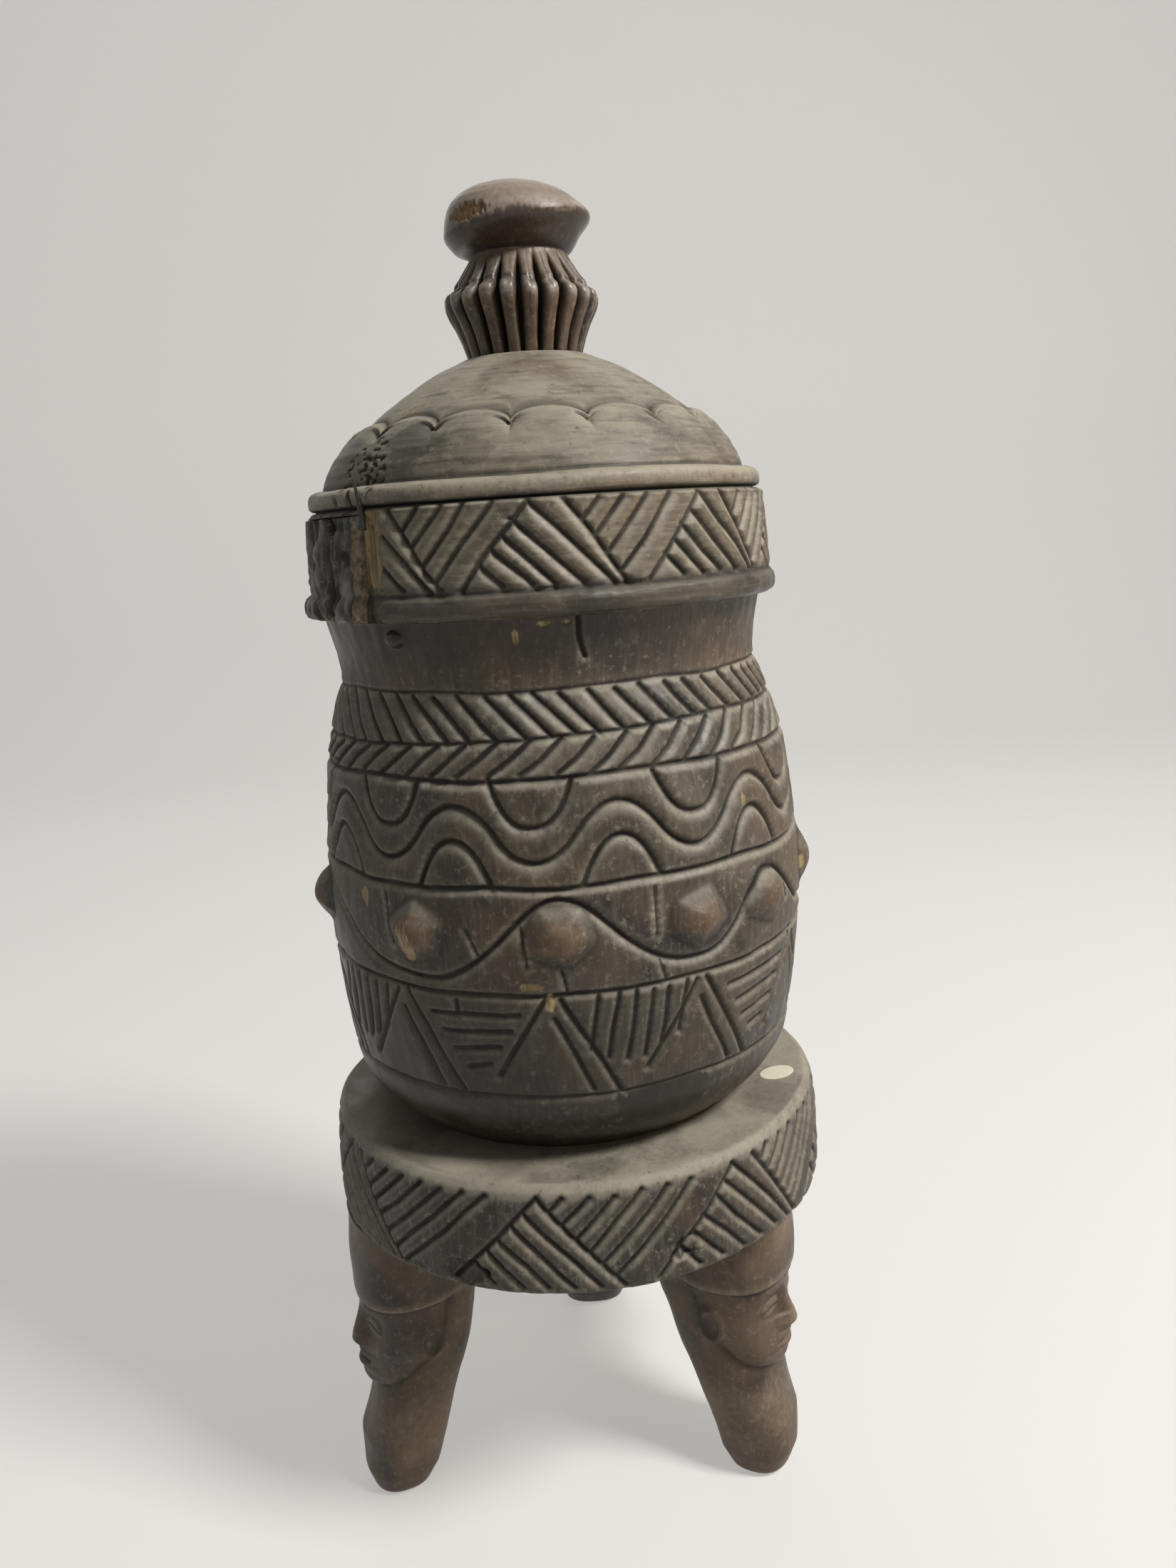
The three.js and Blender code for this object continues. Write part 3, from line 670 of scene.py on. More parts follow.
def cut_zigzag(strip, tips, low, high, rise, fall, bars, up_shares, down_shares, **groove):
    """Zigzag with tips at angles; rise and fall are the widths of its slopes in degrees."""
    height = high - low
    for k, (tip, bar) in enumerate(zip(tips, bars)):
        after = tips[k + 1] if k + 1 < len(tips) else tips[0] + 360
        slope = rise * ((after - tip) / USUAL_FIELD) ** 0.5
        cut_along(strip, [(tip - rise, low), (tip, high)], **groove)
        cut_along(strip, [(tip, high), (tip + fall, low)], **groove)
        foot = tip + fall + (2.2 if bar else 0)
        if bar:
            cut_along(strip, [(tip + bar, high), (foot, low)], **groove)
        for share in up_shares:
            start = (tip - rise * (1 - share), low + height * share)
            end = start[0] + fall * share
            if end < foot - 1:
                cut_along(strip, [start, (end, low + 0.5)], **groove)
        for share in down_shares:
            start = tip + bar + (foot - tip - bar) * share + 0.8
            end = start + slope * share
            cut_along(strip, [(start, high - height * share), (end, high)], **groove)
        while end + LINE_GAP < after - PLAIN_BAR:
            end += LINE_GAP
            cut_along(strip, [(end - slope, low), (end, high)], **groove)


print("a field is about", USUAL_FIELD, "degrees wide")

# %% [markdown]
# ## Lid
# The lid is a bell: a skirt with a bead at its hem and a zigzag band, a rounded ring, a
# cushion whose upper edge is cut into sixteen scallops, and a dome that carries the
# knob. Its skin runs from the hollow inside, under the hem, and up the outside.

# %% Lid's strip
SKIRT_BORE = 92
LID_COLUMNS, SKIRT_STEP = 1000, 0.54
LID_TIPS = [-41, -0.5, 41, 81, 121, 161, 200, 239, 279]
HEM_LOW = 420.3
SKIRT_CURVE = [
    # level, radius
    (HEM_LOW, 103.4), (421.0, 105.0), (422.6, 105.7), (425.5, 105.75), (427.8, 105.2),
    (429.0, 104.2), (430.2, 103.0), (431.5, 103.3), (433, 103.5), (448, 102.6), (462.6, 101.4),
    (463.5, 100.6),
]


def skirt_radius(level):
    return np.interp(level, *zip(*SKIRT_CURVE))


skirt_levels = np.arange(HEM_LOW, SKIRT_CURVE[-1][0], SKIRT_STEP)
skirt_strip = new_strip(LID_COLUMNS, skirt_levels, skirt_radius(skirt_levels))
cut_zigzag(
    skirt_strip, LID_TIPS, 431.5, 463, 15, 18.4, [7.8] * len(LID_TIPS),
    (0.79, 0.61, 0.45, 0.27), (0.25, 0.455, 0.66, 0.885), depth=2.5, half_width=3.8,
)
print("skirt's strip:", skirt_strip.cut.shape)

# %% [markdown]
# ### Ring, scalloped cushion and dome
# Above the skirt nothing repeats from band to band, so each ring of points is listed one
# by one, with its own radius, level, dirt and wear. Where two scallops meet, the cushion's
# edge drops and a notch runs into it. Low down the cushion stays even all round.

# %% Dome, tier and ring
SCALLOPS, SCALLOP_TURN, SCALLOP_DEPTH, TIER_HEIGHT = 16, -4, 5.5, 25.5
DOME_CURVE = [(84.15, 486.4), (72, 498.2), (59.84, 507.5), (43.01, 518.3), (27.5, 525)]
RING_ROWS = [
    # radius, level, dirt, wear
    (98.5, 464.0, 0.7, 0), (96.8, 464.4, 1, 0), (96.8, 464.8, 1, 0), (98.4, 465.1, 0.8, 0),
    (99.3, 465.6, 0.3, 0), (99.8, 466.4, 0, 0.1), (100, 467.6, 0, 0.3), (100, 468.8, 0, 0.5),
    (99.8, 470.0, 0, 0.7), (99.4, 470.9, 0, 0.8), (98.6, 471.8, 0, 0.8), (97.2, 472.5, 0, 0.6),
    (95.4, 473.0, 0, 0.1), (94.0, 473.1, 0.4, 0), (93.0, 473.3, 0.6, 0), (92.9, 474.2, 0.3, 0),
]
CUSHION_SIDE = [
    # share of the cushion's height, radius
    (0, 93.3), (0.25, 91.0), (0.5, 87.2), (0.75, 82.2), (0.9, 78.0), (1, 75.5),
]
CUSHION_EDGE = [
    # share of the cushion's height, mm proud of the dome, dirt
    (0.935, 4.0, 0), (0.965, 3.4, 0), (0.985, 2.3, 0.2), (0.998, 0.9, 0.7), (1.0, -0.2, 1),
    (1.005, -0.5, 1), (1.03, -0.1, 0.6),
]

dome_line = smooth_line(DOME_CURVE, 600)
lid_angles = np.arange(LID_COLUMNS) * (360 / LID_COLUMNS) - 180
scallop_share = (away(lid_angles, SCALLOP_TURN) * SCALLOPS / 360) % 1
arch = np.sin(np.pi * scallop_share)
scallop_drop = SCALLOP_DEPTH * (1 - arch**0.45)


def dome_radius(z):
    return np.interp(z, dome_line[:, 1], dome_line[:, 0])


def tier_level(share):
    return RING_TOP + TIER_HEIGHT * share - scallop_drop * ease(share, 0.45, 1.0)


def upper_rings():
    """Ring, cushion and dome, from the top of the skirt to the knob's foot."""
    drift = level_drift(lid_angles, 9) * 0.5
    rings, dirt, wear = [], [], []

    def lay(radius, level, dirty, worn):
        rings.append(around(lid_angles, radius, level))
        dirt.append(np.broadcast_to(dirty, lid_angles.shape))
        wear.append(np.broadcast_to(worn, lid_angles.shape))

    for radius, level, dirty, worn in RING_ROWS:
        lay(radius, level + drift * ease(level, 464, 467), dirty, worn)
    for share in np.linspace(0.06, 0.9, 34):
        notch = (1 - arch**0.35) * ease(share, 0.66, 0.98)
        pit = ease(notch, 0.3, 0.8) * ease(share, 0.8, 0.95)
        level = tier_level(share)
        dome = dome_radius(level)
        radius = np.maximum(np.interp(share, *zip(*CUSHION_SIDE)), dome + 0.4) - 3.0 * notch
        worn = (1 - notch) * ease(share, 0.6, 0.9) * 0.3
        lay(np.maximum(radius, dome - 0.8), level, pit, worn)
    for share, proud, dirty in CUSHION_EDGE:
        level = tier_level(share)
        dirty = dirty * (0.45 + 0.55 * (1 - arch**0.5))
        swell = 0.35 + 0.65 * arch**0.5 if proud > 0 else 1
        lay(dome_radius(level) + proud * swell, level, dirty, 0.5 * (share < 0.98))
    edge = tier_level(CUSHION_EDGE[-1][0])
    for share in np.linspace(0.03, 1, 44):
        level = edge + (DOME_TOP - edge) * share
        lay(dome_radius(level), level, 0.45 * (1 - ease(share, 0, 0.12)), 0)
    return np.array(rings), np.array(dirt), np.array(wear)


crown_rings, crown_dirt, crown_wear = upper_rings()
print("rings above the skirt:", len(crown_rings))

# %% [markdown]
# ### The old break
# At the left a stretch of the skirt has split off and was glued back. Next to it a strip
# of bare yellow wood shows. The break is a step in the same skin: there the skirt's
# rings lie on the level face of the break, and the bare strip is a flat, fibrous face.

# %% Skirt's surface
RAW_RADIUS = 100.4
FIBRE_ANGLES = np.arange(-46, -30, 0.5)

fibres = np.interp(lid_angles, FIBRE_ANGLES, chance.uniform(-0.9, 0.3, len(FIBRE_ANGLES)))
raw_low = np.interp(lid_angles, FIBRE_ANGLES, chance.uniform(-3, 3, len(FIBRE_ANGLES)))
raw_zone = (lid_angles > RAW_EDGE - 0.3) * (lid_angles < BREAK_EDGE)
in_break = ease(away(lid_angles, -66.5), -26.2, -25.8)
in_break = in_break * (1 - ease(lid_angles, RAW_EDGE - 0.4, RAW_EDGE)) * (lid_angles < 0)

up_the_skirt = skirt_levels[:, None]
skirt_dirt, skirt_wear = wear_marks(skirt_strip)
bead_line = np.exp(-(((up_the_skirt - 430) / 0.9) ** 2)) * 0.8
skirt_strip.cut += 0.35 + 0.3 * mottle(skirt_strip, 17, 61, 0.8)
skirt_strip.cut += 0.15 * mottle(skirt_strip, 6, 62, 0.8)
hem = 1 - ease(up_the_skirt, 429, 432)
skirt_strip.cut += hem * (0.3 + 0.3 * mottle(skirt_strip, 5, 66, 1.6))
skirt_strip.cut += patches(
    skirt_strip, [(0.9, 22, 430, 3.5, 1.6, 63), (0.9, 2.5, 430, 2.5, 1.4, 65)]
)
raw_depth = skirt_strip.radius[:, None] - (RAW_RADIUS + fibres[None])
raw_face = np.maximum(skirt_strip.cut, raw_depth)
skirt_strip.cut = np.where(raw_zone[None], raw_face, skirt_strip.cut)

# Painted shade on the skirt's lowest band, round the hem bead.
hem_painted_shade = 0.65 * (1 - ease(up_the_skirt + 1.5 * mottle(skirt_strip, 12, 78), 429, 436))
skirt_marks = {
    "dirt": np.clip(skirt_dirt * (1 - raw_zone) + bead_line, 0, 1),
    "wear": skirt_wear * (1 - raw_zone),
    "bare": raw_zone[None] * ease(up_the_skirt - (433.5 + raw_low)[None], -0.8, 0.8),
    "dark": hem_painted_shade * (1 - raw_zone),
}
print("broken stretch:", round(float(in_break.sum() * 360 / LID_COLUMNS)), "degrees")

# %% [markdown]
# ### Lid's skin
# The dome has small level hollows from the knife. Its marks are a bare scratch at the
# left, wood that crumbled beside the break, and three dark patches of old soot.

# %% Lid's skin
HOLLOW = [(4, 510), (46.75, 503.3), (76.5, 481.7), (SKIRT_BORE, 452)]
HOLLOW_ROWS = 16
CEILING = 462  # level of the break's upper face
SOOT = [
    # strength, angle, row, half angle, half the rows, seed, power
    (0.7, -31, 36, 9, 13, 79, 1.4), (0.4, -52, 40, 10, 10, 80, 1.4), (0.35, -13, 28, 6, 9, 86, 1.4),
]

inside_rows = [(SKIRT_BORE, 440), (SKIRT_BORE, 430), (SKIRT_BORE, HEM_LOW)]
under_rows = [(SKIRT_BORE + 0.4, 420), (97, 420), (102.6, 420)]
start_rings = plain_rings(
    [*smooth_line(HOLLOW, HOLLOW_ROWS), *inside_rows, *under_rows], LID_COLUMNS
)
lid_rings = np.vstack([start_rings, rolled(skirt_strip), crown_rings])
crown_start = len(start_rings) + len(skirt_levels)
ledge_shares = np.linspace(0, 1, crown_start - HOLLOW_ROWS)
ledge = plain_rings([(SKIRT_BORE + 8.4 * share, CEILING) for share in ledge_shares], LID_COLUMNS)
weight = in_break[None, :, None]
lowered = lid_rings[HOLLOW_ROWS:crown_start]
lid_rings[HOLLOW_ROWS:crown_start] = lowered * (1 - weight) + ledge * weight

count = len(crown_rings)
row = np.arange(count)
dent_grid = new_strip(LID_COLUMNS, row * 1.1, np.full(count, 70.0))
dents = 0.34 * mottle(dent_grid, 9, 71, 2.4) + 0.16 * mottle(dent_grid, 3, 72, 5.0) - 0.32
fade = np.minimum(ease(row, 3, 8), 1 - ease(row, count - 6, count - 1))
flat = lid_rings[crown_start:, :, :2]
outward = flat / np.linalg.norm(flat, axis=-1, keepdims=True)
flat += outward * (dents * fade[:, None])[..., None]

crown_grid = new_strip(LID_COLUMNS, row * 1.0, np.full(count, 80.0))
scratch = chip(crown_grid, -39, 62, 9, 4.5, 73) * (mottle(crown_grid, 1.6, 74, 6.0) > 0.25)
crumbled = chip(crown_grid, -46, 20, 8, 22, 88) * ease(mottle(crown_grid, 1.7, 89), 0.1, 0.5)
flat *= 1 - 0.012 * crumbled[..., None]
crown_marks = {
    "dirt": np.maximum(crown_dirt, 0.9 * crumbled),
    "wear": crown_wear,
    "bare": scratch * 0.6,
    "dark": patches(crown_grid, SOOT),
}
lid_marks = {key: np.vstack([skirt_marks[key], crown_marks[key]]) for key in crown_marks}
lid = skin("carved_lid", lid_rings, over_rings(len(start_rings), 0, **lid_marks))
place(lid, "cover", "grey_wood", "lid")

# %% [markdown]
# ### What fills the break
# The glued-back piece is charred and crumbled, the glue line is grey-brown and rough,
# and a thin splinter stands up over the ring. A block like these is a patch of the
# strip with a back: an outer and an inner sheet joined along their edges, which is what
# the ring skin makes when the rings run round the block's own middle.


# %% Blocks in the break
PER_DEGREE = 1.8  # mm along the skirt for each degree
NOISE_ROWS, NOISE_COLUMNS = 80, 200  # random values that are used again and again


def block(name, first_angle, last_angle, outer_of, spacing):
    """A curved block behind the skirt; outer_of gives its outer radius and marks."""
    low, high, inner = 420.2, CEILING - 0.4, SKIRT_BORE + 0.2
    columns = int((last_angle - first_angle) / spacing) + 1
    rows = int((high - low) / 0.8) + 1
    angles = np.linspace(first_angle, last_angle, columns)
    levels = np.linspace(low, high, rows)[:, None]
    radius, marks = outer_of(angles[None], levels)
    radius = np.hstack([radius, np.full((rows, columns), inner)])
    rings = around(np.r_[angles, angles[::-1]], radius, levels)
    marks = {key: np.hstack([field, np.zeros((rows, columns))]) for key, field in marks.items()}
    return skin(name, rings, marks)


def noise_grid(angles, levels, size, seed):
    """Random lumps on a grid of angles and levels, from -1 to 1."""
    values = np.random.default_rng(seed).uniform(-1, 1, (NOISE_ROWS, NOISE_COLUMNS))
    u = (np.broadcast_to(angles, np.broadcast(angles, levels).shape) + 180) * PER_DEGREE / size
    v = (np.broadcast_to(levels, u.shape) - 400) / size
    i, j = v.astype(int) % (NOISE_ROWS - 1), u.astype(int) % (NOISE_COLUMNS - 1)
    fv, fu = ease(v % 1, 0, 1), ease(u % 1, 0, 1)
    low = values[i, j] * (1 - fu) + values[i, j + 1] * fu
    high = values[i + 1, j] * (1 - fu) + values[i + 1, j + 1] * fu
    return low * (1 - fv) + high * fv


def charred(angles, levels):
    """The glued-back piece: long burnt ridges, a crack and a split."""
    long_levels = 400 + (levels - 400) * 0.4
    lumps = 1.9 * noise_grid(angles, long_levels, 6, 81) + 0.9 * noise_grid(angles, levels, 3.6, 82)
    bead = 1.4 * ease(429.5 - levels, 0, 1.5) * ease(-angles, 58, 66)
    crack = np.abs(angles + 55 - 1.5 * np.sin(levels / 5)) * PER_DEGREE
    split = np.abs(angles + 66 + (levels - 440) * 0.25) * PER_DEGREE
    depth = 3.2 * np.clip(1 - crack / 3.0, 0, 1) + 2.0 * np.clip(1 - split / 2.5, 0, 1)
    skirt = skirt_radius(levels)
    radius = np.minimum(skirt - 1.6 + lumps + bead - depth, skirt + 0.1)
    pale = ease(noise_grid(angles, levels, 2.2, 83) - 2.2 * np.abs(crack - 2.6) / 2.6, 0.1, 0.5)
    dirt = np.clip(depth / 3 + ease(-lumps, 0.7, 1.6), 0, 1)
    return radius, {"dirt": dirt, "wear": 0.75 * ease(lumps, 0.4, 1.5), "bare": pale * 0.8}


def filler(angles, levels):
    """The glue line: crumbs of two sizes."""
    crumbs = 0.7 * noise_grid(angles, levels, 2.6, 84) + 0.4 * noise_grid(angles, levels, 1.3, 85)
    skirt = skirt_radius(levels)
    radius = np.minimum(skirt - 0.8 + crumbs, skirt + 0.2)
    return radius, {"dirt": ease(-crumbs, 0.35, 1.0), "wear": 0.4 * ease(crumbs, 0.1, 0.8)}


fragment = block("charred_fragment", BREAK_END + 0.3, GLUE_EDGE - 0.25, charred, 0.45)
glue = block("glue_line", GLUE_EDGE + 0.2, RAW_EDGE - 0.35, filler, 0.3)
place(fragment, "cover", "charred_wood", "rim_fragment")
place(glue, "cover", "old_glue", "rim_glue")

# %% [markdown]
# ### Splinter
# Where the ring broke, one thin splinter of charred wood still stands. It is a stack of
# small ovals that shrink towards the tip, with a wavy edge for the torn fibres.


# %% Splinter
def spike(name, angle, foot, tip, radius, thickness, width):
    """A thin splinter that stands against the ring."""
    a = math.radians(angle - 90)
    out, side = np.array([math.cos(a), math.sin(a)]), np.array([-math.sin(a), math.cos(a)])
    turn = np.linspace(0, 2 * np.pi, 10, endpoint=False)
    rings = []
    for share in np.linspace(0, 1, 14):
        size = (1 - share) ** 0.7 + 0.06
        bark = (1 + 0.2 * np.sin(3 * turn + share * 5)) * size
        centre = out * (radius - 0.9 * math.sin(3 * share)) + side * (1.2 - 3.4 * share)
        flat = centre + np.outer(np.cos(turn) * bark * thickness, out)
        flat = flat + np.outer(np.sin(turn) * bark * width, side)
        rings.append(np.column_stack([flat, np.full(len(turn), foot + (tip - foot) * share)]))
    return skin(name, np.array(rings))


splinter = spike("ring_splinter", -41.2, 456, 477.5, 101.1, 0.9, 1.8)
place(splinter, "cover", "charred_wood")

# %% [markdown]
# ## Knob
# The knob is a cap like a mushroom's on a short neck, above a collar of twenty-one ribs
# like bent fingers. Each rib swells to a knuckle and then slants in to the neck. The
# cuts between the ribs are deep and black.

# %% Knob's measures
KNOB_RIBS = 21
KNOB_COLUMNS = KNOB_RIBS * 22
CAP_LEAN, CAP_SAG = 2.6, 2.6  # mm that the cap leans to the left and sinks to the right
CHIP_ANGLE, CHIP_LEVEL = -38, 581
COLLAR_HEIGHT, KNUCKLE_RISE, BEND_RISE = 42, 24.2, 28.2
RIB_LINE = np.array([
    # level above the dome, radius, depth of the cuts
    (0, 25.2, 3.2), (3, 26.0, 4.8), (8, 27.6, 6.6), (14, 30.0, 7.6), (19, 32.5, 8), (22, 33.6, 8),
    (24.2, 33.8, 8), (26, 33.1, 8), (27.4, 31.8, 7.6), (29, 30.2, 7), (33, 26.9, 5.6),
    (38, 23.6, 3.4), (40, 22.3, 1.2), (41.5, 21.6, 0.3), (42, 21.5, 0),
], float).T
CAP_LINE = np.array([
    # share of the cap's height, radius
    (0, 21.4), (0.05, 23.6), (0.12, 26.0), (0.2, 28.2), (0.28, 30.3), (0.33, 31.4), (0.38, 31.8),
    (0.44, 31.6), (0.52, 30.8), (0.62, 29.1), (0.72, 26.6), (0.81, 23.2), (0.89, 18.6),
    (0.95, 12.8), (0.985, 7.2), (1, 2.0),
], float).T

knob_angles = np.arange(KNOB_COLUMNS) * (360 / KNOB_COLUMNS) - 180
knob_axis = np.radians(knob_angles - 90)
print("columns round the knob:", KNOB_COLUMNS)

# %% [markdown]
# ### Knob's collar and cap
# The collar's rings follow one rib line, and a steep power of the distance from a rib's
# middle makes the narrow black cuts between round fingers. No two ribs are as tall, since
# each was bent by eye. The cap is a plain line with dents and a chip, and its side below
# the widest point is darkened with painted shade.


# %% Knob's collar and cap
def collar_rows():
    """The ribs: a radius, a level and marks for each ring."""
    across = (away(knob_angles, 0) * KNOB_RIBS / 360) % 1 * 2 - 1  # 0 on a rib, 1 in a cut
    number = np.floor((knob_angles + 180) * KNOB_RIBS / 360).astype(int)
    hand = chance.uniform(-1, 1, KNOB_RIBS + 1)[number]
    for rise in np.r_[np.arange(0, COLLAR_HEIGHT, 0.45), COLLAR_HEIGHT]:
        at = rise - 0.9 * hand * ease(rise, 8, 20) * (1 - ease(rise, 34, COLLAR_HEIGHT))
        radius, depth = (np.interp(at, RIB_LINE[0], line) for line in RIB_LINE[1:])
        wide = 1 - ease(rise, 30, 40) * 0.25
        finger = 1 - np.sqrt(np.clip(1 - np.abs(across * wide * 1.16) ** 3.6, 0, 1))
        crease = 1.3 * np.exp(-(((at - BEND_RISE) / 1.3) ** 2)) * (1 - across**2)
        rubbed = (1 - np.abs(across)) * np.exp(-(((at - KNUCKLE_RISE) / 2.6) ** 2)) * 0.9
        soiled = np.clip(finger * 1.6, 0, 1) * ease(depth, 0, 2)
        yield radius - depth * finger - crease - 0.25, DOME_TOP + rise, soiled, rubbed, 0, 0


def cap_rows():
    """The mushroom's cap, with its frayed chip and a band of painted shade on its lower side."""
    for share in np.r_[0, np.linspace(0.01, 1, 60)]:
        dent = 0.35 * np.sin(np.radians(knob_angles * 3 + 40)) * math.sin(math.pi * share) + 0.2
        sag = ease(share, 0.02, 0.2) * (1 - ease(share, 0.36, 0.7))
        sag = -CAP_SAG * np.sin(np.radians(knob_angles)) * sag
        level = NECK_LEVEL + (TOP - NECK_LEVEL) * share - sag
        lumps = lambda size, seed: noise_grid(knob_angles, level, size, seed)
        off_chip = (away(knob_angles, CHIP_ANGLE) / 20) ** 2 + ((level - CHIP_LEVEL) / 3.6) ** 2
        chipped = ease(1 - off_chip - 0.5 * lumps(3.4, 77), 0, 0.35) * (level > 574)
        ragged = 0.9 + 0.5 * lumps(2.4, 75) + 0.3 * lumps(1.2, 76)
        radius = np.interp(share, *CAP_LINE) - dent - 1.3 * chipped * ragged
        rubbed = 0.55 * np.exp(-(((share - 0.52) / 0.12) ** 2)) * (1 - chipped)
        # dark is painted shade on the cap's side below its widest point, with a wavering edge.
        edge = share + 0.03 * np.sin(knob_axis * 5) + 0.05 * lumps(4, 87)
        dark = (1 - ease(edge, 0.36, 0.45)) * 0.8
        yield radius, level, 0.8 * (1 - ease(share, 0, 0.1)), rubbed, chipped, dark, share


def knob_rings():
    """All rings of the knob, and their marks."""
    rings, fields = [], []
    for radius, level, *field in [*collar_rows(), *cap_rows()]:
        lean = CAP_LEAN * ease(field[4], 0.36, 1) if len(field) > 4 else 0
        rings.append(around(knob_angles, radius, level) - [lean, 0, 0])
        fields.append([np.broadcast_to(value, knob_angles.shape) for value in field[:4]])
    marks = np.array(fields).transpose(1, 0, 2)
    return np.array(rings), dict(zip(("dirt", "wear", "bare", "dark"), marks))


knob = skin("ribbed_knob", *knob_rings())
place(knob, "cover", "brown_wood", "knob")

# %% [markdown]
# ## Stand plate
# The plate is as thick as a hand is wide. Its rim has the zigzag in long slanted cuts,
# and its top is worn smooth and grey. The lower edge has lost some wood at the front.

# %% Plate's rim
PLATE_COLUMNS, RIM_STEP = 1050, 0.595
PLATE_TIPS = [-106, -62, -8.5, 35, 80, 124, 168, 211]
RIM_CURVE = [
    # level, radius
    (PLATE_LOW, 114.7), (145.5, 117.2), (147, 117.6), (156, 118.1), (172.8, 117.6),
    (186, 116.3), (189, 115.4), (190.6, 114.2), (191.6, 112.9),
]
LOST_WOOD = [
    # strength, angle, level, half angle, half height, seed
    (1, -24, 152, 5, 6, 91), (0.8, 21, 158, 4, 5, 93), (0.6, -37, 147, 3, 3.5, 95),
]

rim_levels = np.arange(PLATE_LOW, RIM_CURVE[-1][0] + 0.01, RIM_STEP)
up_the_rim = rim_levels[:, None]
rim_strip = new_strip(PLATE_COLUMNS, rim_levels, np.interp(rim_levels, *zip(*RIM_CURVE)))
cut_zigzag(
    rim_strip, PLATE_TIPS, 147.5, 186.5, 19, 17.5, [4, 5.5, 0, 6, 0, 5, 0, 5],
    (0.86, 0.72, 0.57, 0.42, 0.26), (0.12, 0.27, 0.42, 0.57, 0.72, 0.87), depth=2.2, half_width=3.2,
)
rim_dirt, rim_wear = wear_marks(rim_strip)
lost = patches(rim_strip, LOST_WOOD)
rim_strip.cut += 0.35 + 0.3 * mottle(rim_strip, 19, 97, 0.9)
rim_strip.cut += lost * (1.6 + 0.8 * mottle(rim_strip, 2.6, 98))
rim_strip.cut += ease(up_the_rim, 183, 191) * (0.9 + 0.9 * mottle(rim_strip, 26, 99, 1.2))
print("rim's strip:", rim_strip.cut.shape)

# %% [markdown]
# ### Plate's top and skin
# The top starts at the rim's own worn edge, so that no seam shows, and runs in to below
# the bowl. It has shallow dips, a film of dust and darker patches.

# %% Plate's skin
TOP_SHARES = [0.99, 0.975, 0.94, 0.9, 0.86, 0.82, 0.77, 0.69, 0.35]  # of the rim's radius
DIP_FADE = [0.4, 0.8, 1, 1, 1, 0.8, 0]
UNDER_ROWS = [(radius, PLATE_LOW) for radius in (60, 100, 111)]

rim_edge = rim_strip.radius[-1] - rim_strip.cut[-1]
top_rows = [(rim_edge * share, 192 - 0.15 * (share == TOP_SHARES[0])) for share in TOP_SHARES]
under_rings, top_rings = (plain_rings(rows, PLATE_COLUMNS) for rows in (UNDER_ROWS, top_rows))
dips = len(DIP_FADE)
dip_grid = new_strip(PLATE_COLUMNS, np.arange(dips) * 5.0, np.full(dips, 100.0))
dip = 0.5 * np.clip(mottle(dip_grid, 17, 101), 0, 1)
top_rings[:dips, :, 2] -= dip * np.array(DIP_FADE)[:, None]
top_count = len(top_rows)
top_grid = new_strip(PLATE_COLUMNS, np.arange(top_count) * 4.0, np.full(top_count, 100.0))
blotches = mottle(top_grid, 13, 103, 1.8) + 0.4 * mottle(top_grid, 5, 104, 1.5)
on_top = np.ones(blotches.shape)
rim_edge_wear_and_highlight = np.clip(0.6 * rim_wear + 0.7 * ease(up_the_rim, 186, 190), 0, 1)
plate_marks = over_rings(
    len(UNDER_ROWS), 0,
    dirt=np.vstack([np.clip(rim_dirt + 0.3 * lost, 0, 1), 0 * on_top]),
    dark=np.vstack([0 * lost, 0.35 * ease(blotches, 0.1, 0.6)]),
    wear=np.vstack([rim_edge_wear_and_highlight, 0.6 * on_top]),
)
plate = skin("carved_plate", np.vstack([under_rings, rolled(rim_strip), top_rings]), plate_marks)
place(plate, "vessel", "grey_wood", "stand_plate")

# %% [markdown]
# ### Blank label
# A small oval paper label lies on the plate's top. It is a thin sheet with a soft edge,
# and nothing is written on it.

# %% Label
LABEL_CENTRE = (96.5, -23.4)
LABEL_HALF = (9.0, 6.2)
LABEL_TURN = math.radians(31)
LABEL_ROWS = [
    # share of the label's size, level
    (0.6, 191.8), (1, 191.8), (1.006, 192.05), (1, 192.16), (0.93, 192.2), (0.5, 192.24),
    (0.1, 192.25),
]


def label_rings():
    """Ovals from the underside, round the edge and in over the top."""
    turn = np.linspace(0, 2 * np.pi, 72, endpoint=False)
    rings = []
    for share, level in LABEL_ROWS:
        x, y = LABEL_HALF[0] * share * np.cos(turn), LABEL_HALF[1] * share * np.sin(turn)
        x, y = turned(x, y, LABEL_TURN)
        oval = [x + LABEL_CENTRE[0], y + LABEL_CENTRE[1], np.full(len(turn), level)]
        rings.append(np.column_stack(oval))
    return np.array(rings)


label = skin("blank_label", label_rings())
place(label, "vessel", "old_glue")

# %% [markdown]
# ## Legs
# Each leg is a post that tapers to a foot. A head stands on its outer side, with a close
# cap that reaches up to the plate. The faces are calm and general: brow, eyes, nose and
# lips lie where a drawing lesson puts them. A level slice through the leg is the larger
# of two rounded shapes, the post and the head, measured from a point inside both.

